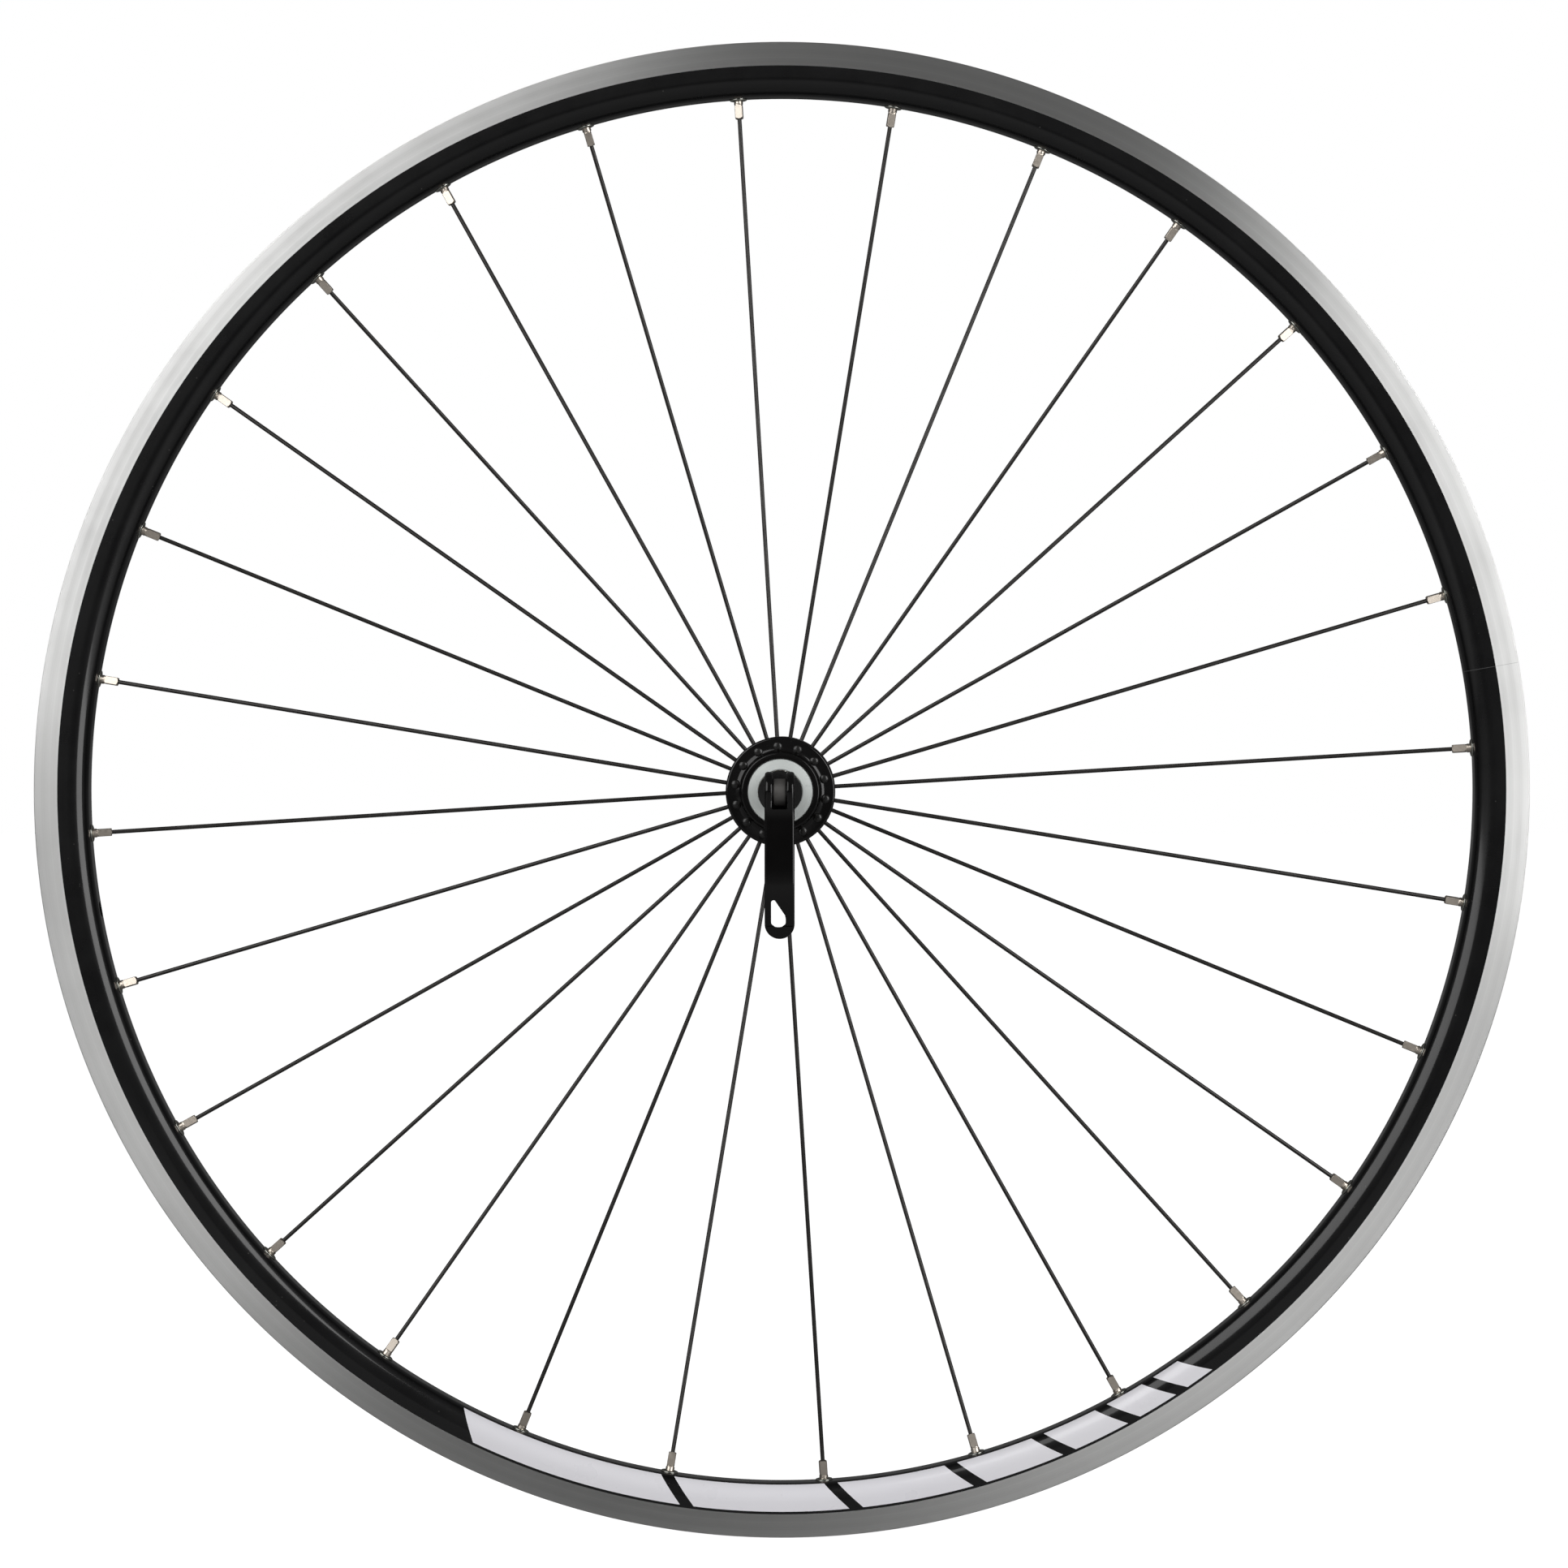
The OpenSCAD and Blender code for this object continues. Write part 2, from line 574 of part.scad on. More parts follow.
module cam_lever() {
    color("black") upright() translate([0, 0, pivot_z]) difference() {
        intersection() {
            rotate([90, 0, 90]) translate([0, 0, -lever_width / 2]) linear_extrude(height = lever_width) polygon(lever_side());
            translate([0, 0, -2 * cam_closed_radius]) linear_extrude(height = 4 * cam_closed_radius) union() {
                translate([-lever_width / 2, -lever_length + tip_round]) square([lever_width, lever_length + cam_closed_radius]);
                translate([0, -lever_length + tip_round]) circle(r = tip_round);
            }
        }
        translate([-lever_slot / 2, slot_bottom, -2 * cam_closed_radius]) cube([lever_slot, 4 * cam_closed_radius, 4 * cam_closed_radius]);
        translate([-lever_width, 0, 0]) rotate([0, 90, 0]) cylinder(r = pin_radius + run, h = 2 * lever_width);
        translate([0, 0, -2 * cam_closed_radius]) linear_extrude(height = 4 * cam_closed_radius) lever_window();
    }
}

nut_length = 14;
nut_end_radius = 7.2;
scallop_count = 8;
insert_radius = 4.2;
insert_length = 2.6;
thread_gap = 0.06;
module adjusting_nut() {
    color("black") upright() far_side() difference() {
        translate([0, 0, clamp_face_z]) union() {
            cylinder(r = cap_radius, h = 4);
            translate([0, 0, 4]) cylinder(r1 = cap_radius, r2 = nut_end_radius, h = nut_length - 4.6);
            translate([0, 0, nut_length - 0.6]) cylinder(r1 = nut_end_radius, r2 = nut_end_radius - 0.6, h = 0.6);
        }
        translate([0, 0, clamp_face_z - over]) cylinder(r = rod_radius + thread_gap, h = nut_length + 2 * over);
        translate([0, 0, clamp_face_z - over]) cylinder(r = recess_radius, h = recess_depth + over);
        translate([0, 0, clamp_face_z + nut_length - insert_length - 0.4]) cylinder(r = insert_radius + thread_gap, h = nut_length);
        face_notches();
        for (i = [0:scallop_count - 1]) at_angle(i * 360 / scallop_count)
            translate([cap_radius + 1.2, 0, clamp_face_z + 4.6]) rotate([0, -7, 0]) cylinder(r = 2.3, h = nut_length);
    }
}
module nut_insert() {
    color("white") upright() far_side() difference() {
        translate([0, 0, clamp_face_z + nut_length - insert_length - 0.1]) cylinder(r = insert_radius, h = insert_length);
        translate([0, 0, clamp_face_z]) cylinder(r = rod_radius + thread_gap, h = 2 * nut_length);
    }
}

rim();
rim_joint_sleeve();
eyelets();
nipples_left();
nipples_right();
spokes_left();
spokes_right();
decal_left();
decal_right();
hub_shell();
bearing_cup_left();
bearing_cup_right();
bearing_balls_left();
bearing_balls_right();
dust_cap_left();
dust_cap_right();
axle();
cone_left();
cone_right();
lock_washer_left();
lock_washer_right();
locknut_left();
locknut_right();
end_cap();
cam_washer();
spring_left();
spring_right();
skewer_rod();
pivot_barrel();
cam_lever();
adjusting_nut();
nut_insert();
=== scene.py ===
import math
import bpy
from mathutils import Matrix, Vector


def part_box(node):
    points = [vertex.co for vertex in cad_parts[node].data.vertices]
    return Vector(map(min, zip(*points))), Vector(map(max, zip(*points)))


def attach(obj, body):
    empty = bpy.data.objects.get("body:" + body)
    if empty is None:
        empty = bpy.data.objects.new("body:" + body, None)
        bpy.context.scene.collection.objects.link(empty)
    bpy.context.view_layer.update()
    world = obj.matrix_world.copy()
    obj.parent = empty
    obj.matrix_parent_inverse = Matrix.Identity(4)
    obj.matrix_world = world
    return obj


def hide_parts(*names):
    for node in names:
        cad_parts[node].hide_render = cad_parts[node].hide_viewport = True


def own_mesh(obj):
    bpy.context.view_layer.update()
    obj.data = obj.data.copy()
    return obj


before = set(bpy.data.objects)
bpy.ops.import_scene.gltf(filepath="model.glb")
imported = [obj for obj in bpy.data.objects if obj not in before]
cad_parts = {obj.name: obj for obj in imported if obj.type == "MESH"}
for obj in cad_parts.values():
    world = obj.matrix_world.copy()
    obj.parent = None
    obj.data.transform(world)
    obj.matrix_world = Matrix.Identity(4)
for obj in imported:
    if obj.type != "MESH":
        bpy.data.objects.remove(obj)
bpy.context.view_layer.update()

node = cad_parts

# ---- Rim ----------------------------------------------------------------------------------
# A double-wall aluminium extrusion rolled into a hoop and joined opposite the valve hole. It is
# lacquered gloss black, and the two brake tracks are then turned bare, which leaves fine rings.
rim_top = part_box("rim")[1].z
track_foot = 0.307
curve_top = 0.303
bed = 0.2943
half_width = 0.0102
bed_half = 0.004
hoop_steps = 448
spoke_count = 28
first_spoke = math.radians(3.55)
spoke_step = 2 * math.pi / spoke_count
valve_turn = math.radians(189.9)
joint_turn = math.radians(9.9)


def hands_off():
    if bpy.context.object and bpy.context.object.mode != "OBJECT":
        bpy.ops.object.mode_set(mode="OBJECT")
    bpy.ops.object.select_all(action="DESELECT")


def pick(*objs):
    hands_off()
    for o in objs:
        o.select_set(True)
    bpy.context.view_layer.objects.active = objs[0]
    return objs[0]


def soften(outline, r, least=25):
    """The outline with each corner sharper than least degrees rounded."""
    out = []
    n = len(outline)
    for i in range(n):
        p, a, b = (Vector(outline[k % n]) for k in (i, i - 1, i + 1))
        to_a, to_b = a - p, b - p
        turn = 180 - math.degrees(to_a.angle(to_b))
        if turn < least:
            out.append(tuple(p))
            continue
        d = min(r, 0.45 * to_a.length, 0.45 * to_b.length)
        p1, p2 = p + to_a.normalized() * d, p + to_b.normalized() * d
        for t in (0, 0.25, 0.5, 0.75, 1):
            out.append(tuple(p1 * (1 - t) ** 2 + p * 2 * t * (1 - t) + p2 * t * t))
    return out


def turn_piece(name, outline, steps, sweep=360.0, start=0.0, smooth=38):
    """Turns a (radius, y) outline round the axle. The outline is a ring section, or starts and ends on the axle."""
    hands_off()
    solid = outline[0][0] < 1e-9 and outline[-1][0] < 1e-9
    bpy.ops.mesh.primitive_circle_add(vertices=len(outline), radius=0.01, fill_type="NOTHING")
    o = bpy.context.object
    o.name = o.data.name = name
    a = math.radians(start)
    for v, (r, y) in zip(o.data.vertices, outline):
        v.co = (r * math.cos(a), y, r * math.sin(a))
    bpy.ops.object.mode_set(mode="EDIT")
    if solid:
        bpy.ops.mesh.select_all(action="DESELECT")
        bpy.ops.object.mode_set(mode="OBJECT")
        for e in o.data.edges:
            e.select = all(outline[k][0] < 1e-9 for k in e.vertices)
        bpy.ops.object.mode_set(mode="EDIT")
        bpy.ops.mesh.select_mode(type="EDGE")
        bpy.ops.mesh.delete(type="EDGE")
        bpy.ops.mesh.select_mode(type="VERT")
    bpy.ops.mesh.select_all(action="SELECT")
    bpy.ops.mesh.spin(steps=steps, angle=math.radians(sweep), center=(0, 0, 0), axis=(0, -1, 0))
    bpy.ops.mesh.select_all(action="SELECT")
    bpy.ops.mesh.remove_doubles(threshold=1e-6)
    bpy.ops.mesh.normals_make_consistent(inside=False)
    bpy.ops.object.mode_set(mode="OBJECT")
    bpy.ops.object.shade_smooth_by_angle(angle=math.radians(smooth))
    return o


def drill(name, r, depth, where, along, sides=32):
    """A round cutter centred on where, with its length along a direction."""
    hands_off()
    bpy.ops.mesh.primitive_cylinder_add(vertices=sides, radius=r, depth=depth)
    o = bpy.context.object
    o.name = name
    o.data.transform(Matrix.Translation(where) @ Vector(along).to_track_quat("Z", "Y").to_matrix().to_4x4())
    return o


def merge(name, objs):
    pick(*objs)
    if len(objs) > 1:
        bpy.ops.object.join()
    o = bpy.context.object
    o.name = o.data.name = name
    return o


def cut(piece, tool, how="DIFFERENCE", smooth=38):
    m = piece.modifiers.new("cut", "BOOLEAN")
    m.operation, m.object, m.solver = how, tool, "EXACT"
    pick(piece)
    bpy.ops.object.modifier_apply(modifier=m.name)
    bpy.data.objects.remove(tool)
    bpy.ops.object.shade_smooth_by_angle(angle=math.radians(smooth))
    return piece


def radial(a, r=1.0, y=0.0):
    return Vector((r * math.cos(a), y, r * math.sin(a)))


def side_curve(inset, steps=18):
    """The painted side, a quarter ellipse from the full width down to the flat spoke bed."""
    out = []
    for i in range(steps + 1):
        u = math.pi / 2 * i / steps
        out.append((curve_top - (curve_top - bed - inset) * math.sin(u),
                    bed_half + (half_width - bed_half - inset) * math.cos(u)))
    return out


def both_sides(half):
    return half + [(r, -y) for r, y in reversed(half)]


seat = rim_top - 0.006
well = rim_top - 0.0092
outside = [(well, 0.0038), (well + 0.0006, 0.0046), (seat, 0.0066), (seat, 0.0087),
           (rim_top - 0.0028, 0.0087), (rim_top - 0.002, 0.0078), (rim_top - 0.0008, 0.0078),
           (rim_top, 0.0082), (rim_top, half_width - 0.0003), (rim_top - 0.0003, half_width),
           (track_foot, half_width)]
rim = turn_piece("rim_hoop", soften(both_sides(outside + side_curve(0)), 0.0003, 30), hoop_steps)
wall = 0.0014
hollow = [(well - wall, 0.0038), (seat - wall - 0.0004, 0.0071), (seat - wall - 0.0004, half_width - wall - 0.0002)]
hollow = turn_piece("rim_hollow", both_sides(hollow + side_curve(wall, 8)), hoop_steps)
pick(hollow)
bpy.ops.object.mode_set(mode="EDIT")
bpy.ops.mesh.select_all(action="SELECT")
bpy.ops.mesh.flip_normals()
rim = merge("rim_hoop", [rim, hollow])
drills = []
for i in range(spoke_count):
    a = first_spoke + i * spoke_step
    drills.append(drill("bed_drill", 0.00272, 0.004, radial(a, bed + 0.0007), radial(a)))
    drills.append(drill("access_drill", 0.0042, 0.004, radial(a, well - 0.0007), radial(a), 40))
drills.append(drill("valve_drill", 0.00325, 0.03, radial(valve_turn, 0.301), radial(valve_turn), 48))
rim = cut(rim, merge("rim_drills", drills), smooth=32)


def math_node(tree, op, a, b=None, clamp=False):
    n = tree.nodes.new("ShaderNodeMath")
    n.operation, n.use_clamp = op, clamp
    for k, v in enumerate((a, b)):
        if isinstance(v, (int, float)):
            n.inputs[k].default_value = v
        elif v is not None:
            tree.links.new(v, n.inputs[k])
    return n.outputs[0]


def noise_node(tree, vector, scale, detail=3.0, rough=0.55, flat=False):
    n = tree.nodes.new("ShaderNodeTexNoise")
    if flat:
        n.noise_dimensions = "1D"
        tree.links.new(vector, n.inputs["W"])
    else:
        tree.links.new(vector, n.inputs["Vector"])
    n.inputs["Scale"].default_value = scale
    n.inputs["Detail"].default_value = detail
    n.inputs["Roughness"].default_value = rough
    return n.outputs["Fac"]


def span_node(tree, value, from_low, from_high, low, high):
    n = tree.nodes.new("ShaderNodeMapRange")
    tree.links.new(value, n.inputs["Value"])
    for key, v in (("From Min", from_low), ("From Max", from_high), ("To Min", low), ("To Max", high)):
        n.inputs[key].default_value = v
    return n.outputs["Result"]


def new_group(name, ins, outs):
    g = bpy.data.node_groups.new(name, "ShaderNodeTree")
    for key, kind, value in ins:
        s = g.interface.new_socket(key, in_out="INPUT", socket_type=kind)
        if value is not None:
            s.default_value = value
    for key, kind in outs:
        g.interface.new_socket(key, in_out="OUTPUT", socket_type=kind)
    return g, g.nodes.new("NodeGroupInput"), g.nodes.new("NodeGroupOutput")


FLOAT, VECTOR = "NodeSocketFloat", "NodeSocketVector"

# Turning rings: how tone and height change with the distance from the axle on a turned face.
rings, gi, go = new_group("turning_rings",
                          [("Place", VECTOR, None), ("Pitch", FLOAT, 2500.0), ("Waver", FLOAT, 0.4)],
                          [("Tone", FLOAT), ("Height", FLOAT)])
sep = rings.nodes.new("ShaderNodeSeparateXYZ")
rings.links.new(gi.outputs["Place"], sep.inputs[0])
dist = math_node(rings, "SQRT", math_node(rings, "ADD", math_node(rings, "POWER", sep.outputs["X"], 2.0),
                                           math_node(rings, "POWER", sep.outputs["Z"], 2.0)))
fine = noise_node(rings, math_node(rings, "MULTIPLY", dist, gi.outputs["Pitch"]), 1.0, 2.0, 0.6, flat=True)
broad = noise_node(rings, math_node(rings, "MULTIPLY", dist, gi.outputs["Pitch"]), 0.17, 1.0, 0.5, flat=True)
patch = noise_node(rings, gi.outputs["Place"], 14.0, 3.0)
tone = math_node(rings, "ADD", math_node(rings, "MULTIPLY", fine, 0.55), math_node(rings, "MULTIPLY", broad, 0.45))
tone = math_node(rings, "ADD", tone, math_node(rings, "MULTIPLY", math_node(rings, "SUBTRACT", patch, 0.5),
                                               gi.outputs["Waver"]))
rings.links.new(tone, go.inputs["Tone"])
rings.links.new(fine, go.inputs["Height"])

# Lacquer: the slight orange peel of a sprayed coat, and how its gloss varies with handling.
lacquer, gi, go = new_group("lacquer_coat", [("Place", VECTOR, None), ("Peel", FLOAT, 900.0)],
                            [("Height", FLOAT), ("Gloss", FLOAT), ("Haze", FLOAT)])
peel = noise_node(lacquer, gi.outputs["Place"], 1.0, 1.0)
lacquer.links.new(gi.outputs["Peel"], peel.node.inputs["Scale"])
lacquer.links.new(peel, go.inputs["Height"])
lacquer.links.new(noise_node(lacquer, gi.outputs["Place"], 60.0, 4.0, 0.6), go.inputs["Gloss"])
lacquer.links.new(noise_node(lacquer, gi.outputs["Place"], 9.0, 3.0, 0.5), go.inputs["Haze"])

# Dust: sparse pale specks that settle on anything dark.
dust, gi, go = new_group("dust_specks",
                         [("Place", VECTOR, None), ("Size", FLOAT, 1400.0), ("Amount", FLOAT, 0.1)],
                         [("Mask", FLOAT)])
cells = dust.nodes.new("ShaderNodeTexVoronoi")
dust.links.new(gi.outputs["Place"], cells.inputs["Vector"])
dust.links.new(gi.outputs["Size"], cells.inputs["Scale"])
near = span_node(dust, cells.outputs["Distance"], 0.0, 0.16, 1.0, 0.0)
keep = dust.nodes.new("ShaderNodeSeparateColor")
dust.links.new(cells.outputs["Color"], keep.inputs[0])
chosen = math_node(dust, "LESS_THAN", keep.outputs[0], gi.outputs["Amount"])
cloud = noise_node(dust, gi.outputs["Place"], 30.0, 3.0)
dust.links.new(math_node(dust, "MULTIPLY", math_node(dust, "MULTIPLY", near, chosen), cloud), go.inputs["Mask"])


def material(name, **constant):
    m = bpy.data.materials.new(name)
    m.use_nodes = True
    b = m.node_tree.nodes["Principled BSDF"]
    for key, v in constant.items():
        b.inputs[key.replace("_", " ")].default_value = v
    place = m.node_tree.nodes.new("ShaderNodeTexCoord").outputs["Object"]
    return m, m.node_tree, b, place


def group_in(tree, group, place, **values):
    n = tree.nodes.new("ShaderNodeGroup")
    n.node_tree = group
    tree.links.new(place, n.inputs["Place"])
    for key, v in values.items():
        n.inputs[key].default_value = v
    return n


def mix_colour(tree, mask, a, b):
    n = tree.nodes.new("ShaderNodeMix")
    n.data_type = "RGBA"
    tree.links.new(mask, n.inputs["Factor"])
    for key, v in ((6, a), (7, b)):
        if isinstance(v, tuple):
            n.inputs[key].default_value = (*v, 1.0)
        else:
            tree.links.new(v, n.inputs[key])
    return n.outputs[2]


def bump(tree, shader, height, depth, strength=1.0):
    n = tree.nodes.new("ShaderNodeBump")
    n.inputs["Strength"].default_value = strength
    n.inputs["Distance"].default_value = depth
    tree.links.new(height, n.inputs["Height"])
    tree.links.new(n.outputs[0], shader.inputs["Normal"])


def joint_line(tree, place, width):
    """A mask for the fine line where the hoop's two ends were pressed together."""
    s = tree.nodes.new("ShaderNodeSeparateXYZ")
    tree.links.new(place, s.inputs[0])
    across = math_node(tree, "SUBTRACT", math_node(tree, "MULTIPLY", s.outputs["X"], math.sin(joint_turn)),
                       math_node(tree, "MULTIPLY", s.outputs["Z"], math.cos(joint_turn)))
    line = span_node(tree, math_node(tree, "ABSOLUTE", across), 0.0, width, 1.0, 0.0)
    right = math_node(tree, "GREATER_THAN", s.outputs["X"], 0.0)
    return math_node(tree, "MULTIPLY", line, right)


# Gloss black lacquer on the hoop, with the joint's line.
rim_black, tree, shader, place = material("rim_lacquer", Specular_IOR_Level=0.15, Coat_Weight=0.75, Coat_Roughness=0.1)
coat = group_in(tree, lacquer, place, Peel=700.0)
specks = group_in(tree, dust, place, Size=420.0, Amount=0.05)
line = joint_line(tree, place, 0.00016)
colour = mix_colour(tree, coat.outputs["Haze"], (0.003, 0.003, 0.0032), (0.0055, 0.0055, 0.0058))
colour = mix_colour(tree, math_node(tree, "MULTIPLY", specks.outputs["Mask"], 0.35), colour, (0.35, 0.34, 0.32))
colour = mix_colour(tree, math_node(tree, "MULTIPLY", line, 0.5), colour, (0.2, 0.2, 0.2))
tree.links.new(colour, shader.inputs["Base Color"])
tree.links.new(span_node(tree, coat.outputs["Gloss"], 0.3, 0.7, 0.22, 0.38), shader.inputs["Roughness"])
bump(tree, shader, math_node(tree, "SUBTRACT", coat.outputs["Height"], line), 0.00001, 0.35)

# Bare brake track: turned aluminium, so its shine lies across the rings.
track, tree, shader, place = material("brake_track", Metallic=1.0, Anisotropic=1.0, Anisotropic_Rotation=0.25)
turned = group_in(tree, rings, place, Pitch=1500.0, Waver=0.3)
line = joint_line(tree, place, 0.00014)
scuff = noise_node(tree, place, 55.0, 5.0, 0.65)
colour = mix_colour(tree, turned.outputs["Tone"], (0.74, 0.74, 0.73), (0.93, 0.93, 0.92))
colour = mix_colour(tree, math_node(tree, "MULTIPLY", line, 0.55), colour, (0.2, 0.2, 0.2))
tree.links.new(colour, shader.inputs["Base Color"])
shine = math_node(tree, "ADD", span_node(tree, turned.outputs["Tone"], 0.3, 0.7, 0.46, 0.38),
                  span_node(tree, scuff, 0.4, 0.75, -0.02, 0.05))
tree.links.new(shine, shader.inputs["Roughness"])
lay = tree.nodes.new("ShaderNodeTangent")
lay.direction_type, lay.axis = "RADIAL", "Y"
tree.links.new(lay.outputs[0], shader.inputs["Tangent"])
bump(tree, shader, turned.outputs["Height"], 0.00002, 0.25)

rim.data.materials.clear()
rim.data.materials.append(rim_black)
rim.data.materials.append(track)
for f in rim.data.polygons:
    c = f.center
    r = math.hypot(c.x, c.z)
    f.material_index = int(r > track_foot and abs(c.y) > 0.0095)
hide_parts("rim")
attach(rim, "wheel")

# The sleeve inside the box section, where the hoop's two ends meet, stays as the frame has it.
# It is a short aluminium extrusion, pressed in and pinned.
sleeve_metal, tree, shader, place = material("sleeve_metal", Metallic=1.0)
grain = noise_node(tree, place, 300.0, 4.0)
tree.links.new(mix_colour(tree, grain, (0.55, 0.56, 0.57), (0.75, 0.76, 0.77)), shader.inputs["Base Color"])
tree.links.new(span_node(tree, grain, 0.3, 0.7, 0.3, 0.5), shader.inputs["Roughness"])


def dress(name, m):
    o = node[name]
    o.data.materials.clear()
    o.data.materials.append(m)


dress("rim_joint_sleeve", sleeve_metal)

# ---- Eyelets ------------------------------------------------------------------------------
# Polished steel ferrules, one round each spoke hole. Each is pushed through the spoke bed and
# rolled over inside, so that the nipple's head pulls on steel and not on the thin wall.
foot = bed - 0.00005
lip = bed + wall + 0.00002
eyelet_outline = [(0.0024, foot - 0.00075), (0.0029, foot - 0.0009), (0.0034, foot - 0.00075),
                  (0.0038, foot - 0.00035), (0.0038, foot), (0.00268, foot), (0.00268, lip), (0.00308, lip),
                  (0.00308, lip + 0.00035), (0.00268, lip + 0.00058), (0.0024, lip + 0.00058)]


def repeat(name, first, places):
    """Copies of one finished piece, each with its own mesh, gathered as one object."""
    copies = []
    for m in places:
        o = bpy.data.objects.new(name, first.data.copy())
        bpy.context.scene.collection.objects.link(o)
        o.data.transform(m)
        copies.append(o)
    bpy.data.objects.remove(first)
    return merge(name, copies)


def outwards(a):
    """Turns a piece made along +Y so that it points away from the axle at an angle."""
    return Matrix.Rotation(-a, 4, "Y") @ Matrix.Rotation(math.radians(-90), 4, "Z")


eyelet = turn_piece("eyelet", soften(eyelet_outline, 0.00012), 40)
eyelets = repeat("spoke_eyelets", eyelet, [outwards(first_spoke + i * spoke_step) for i in range(spoke_count)])
polished, tree, shader, place = material("polished_steel", Metallic=1.0)
grain = noise_node(tree, place, 900.0, 2.0)
smear = noise_node(tree, place, 70.0, 2.0)
tree.links.new(mix_colour(tree, smear, (0.36, 0.37, 0.33), (0.56, 0.56, 0.52)), shader.inputs["Base Color"])
tree.links.new(span_node(tree, grain, 0.3, 0.7, 0.16, 0.26), shader.inputs["Roughness"])
eyelets.data.materials.append(polished)
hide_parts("eyelets")
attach(eyelets, "wheel")

# ---- Nipples ------------------------------------------------------------------------------
# Nickel-plated brass nuts, screwed onto the spokes from the tyre side. The shank is milled to
# four flats for the key, and the end is turned to a small chamfer.
nipple_seat = 0.2965
spoke_radius = 0.0009
hole_circle = 0.019
flange_inner = 0.0334
flange_outer = 0.0366
spoke_level = flange_inner - spoke_radius - 0.00005
tilt = math.atan(spoke_level / (nipple_seat - hole_circle))
shank = turn_piece("nipple_shank", soften([(0.00093, -0.0108), (0.0015, -0.0108), (0.00215, -0.0102),
                                           (0.00215, -0.0054), (0.0019, -0.0050), (0.0019, -0.004), (0.00093, -0.004)],
                                          0.0001), 48)
hands_off()
bpy.ops.mesh.primitive_cube_add(size=1)
flats = bpy.context.object
flats.data.transform(Matrix.Translation((0, -0.0085, 0)) @ Matrix.Diagonal((0.0032, 0.0105, 0.0032, 1)))
shank = cut(shank, flats, "INTERSECT")
head = turn_piece("nipple_head", soften([(0.00093, -0.0045), (0.0019, -0.0045), (0.0019, -0.0003), (0.002, -0.0001),
                                         (0.003, 0.0009), (0.003, 0.0015), (0.0023, 0.0022), (0.00093, 0.0022)],
                                        0.00015), 36)
hands_off()
bpy.ops.mesh.primitive_cube_add(size=1)
slot_tool = bpy.context.object
slot_tool.data.transform(Matrix.Translation((0, 0.0018, 0)) @ Matrix.Diagonal((0.001, 0.001, 0.008, 1)))
head = cut(head, slot_tool)
nipple = merge("nipple", [shank, head])
pick(nipple)
m = nipple.modifiers.new("edge", "BEVEL")
m.width, m.segments, m.limit_method, m.angle_limit = 0.00012, 2, "ANGLE", math.radians(40)
bpy.ops.object.modifier_apply(modifier=m.name)
bpy.ops.object.shade_smooth_by_angle(angle=math.radians(40))

plated, tree, shader, place = material("nickel_plate", Metallic=1.0)
grain = noise_node(tree, place, 900.0, 2.0)
tarnish = noise_node(tree, place, 60.0, 2.0)
tree.links.new(mix_colour(tree, tarnish, (0.62, 0.55, 0.47), (0.78, 0.71, 0.63)), shader.inputs["Base Color"])
tree.links.new(span_node(tree, grain, 0.3, 0.7, 0.3, 0.36), shader.inputs["Roughness"])
spare = nipple.data.copy()
for side, name in ((1, "left"), (-1, "right")):
    one = nipple if side > 0 else bpy.data.objects.new("nipple", spare)
    if side < 0:
        bpy.context.scene.collection.objects.link(one)
    places = []
    for i in range(spoke_count // 2):
        a = first_spoke + (2 * i + (1 if side > 0 else 0)) * spoke_step
        lean = Matrix.Rotation(side * tilt, 4, "Z")
        places.append(Matrix.Rotation(-a, 4, "Y") @ Matrix.Translation((nipple_seat, 0, 0))
                      @ lean @ Matrix.Rotation(math.radians(-90), 4, "Z")
                      @ Matrix.Rotation(0.16 * math.sin(7.3 * i + side), 4, "Y"))
    row = repeat("nipples_" + name + "_row", one, places)
    row.data.materials.append(plated)
    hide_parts("nipples_" + name)
    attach(row, "wheel")

# ---- Spokes -------------------------------------------------------------------------------
# Round stainless wire, blackened. Each is threaded at the rim, bent square where it leaves the
# flange, and headed on the flange's outer face.
bend = 0.00096


def draw_wire(name, points, r, sides=4):
    """A round wire along a line of points, with closed ends."""
    hands_off()
    c = bpy.data.curves.new(name, "CURVE")
    c.dimensions = "3D"
    c.bevel_depth, c.bevel_resolution, c.use_fill_caps = r, sides, True
    s = c.splines.new("POLY")
    s.points.add(len(points) - 1)
    for p, q in zip(s.points, points):
        p.co = (*q, 1)
    o = bpy.data.objects.new(name, c)
    bpy.context.scene.collection.objects.link(o)
    pick(o)
    bpy.ops.object.convert(target="MESH")
    o = bpy.context.object
    bpy.ops.object.mode_set(mode="EDIT")
    bpy.ops.mesh.select_all(action="SELECT")
    bpy.ops.mesh.remove_doubles(threshold=1e-6)
    bpy.ops.mesh.normals_make_consistent(inside=False)
    bpy.ops.object.mode_set(mode="OBJECT")
    bpy.ops.object.shade_smooth_by_angle(angle=math.radians(40))
    return o


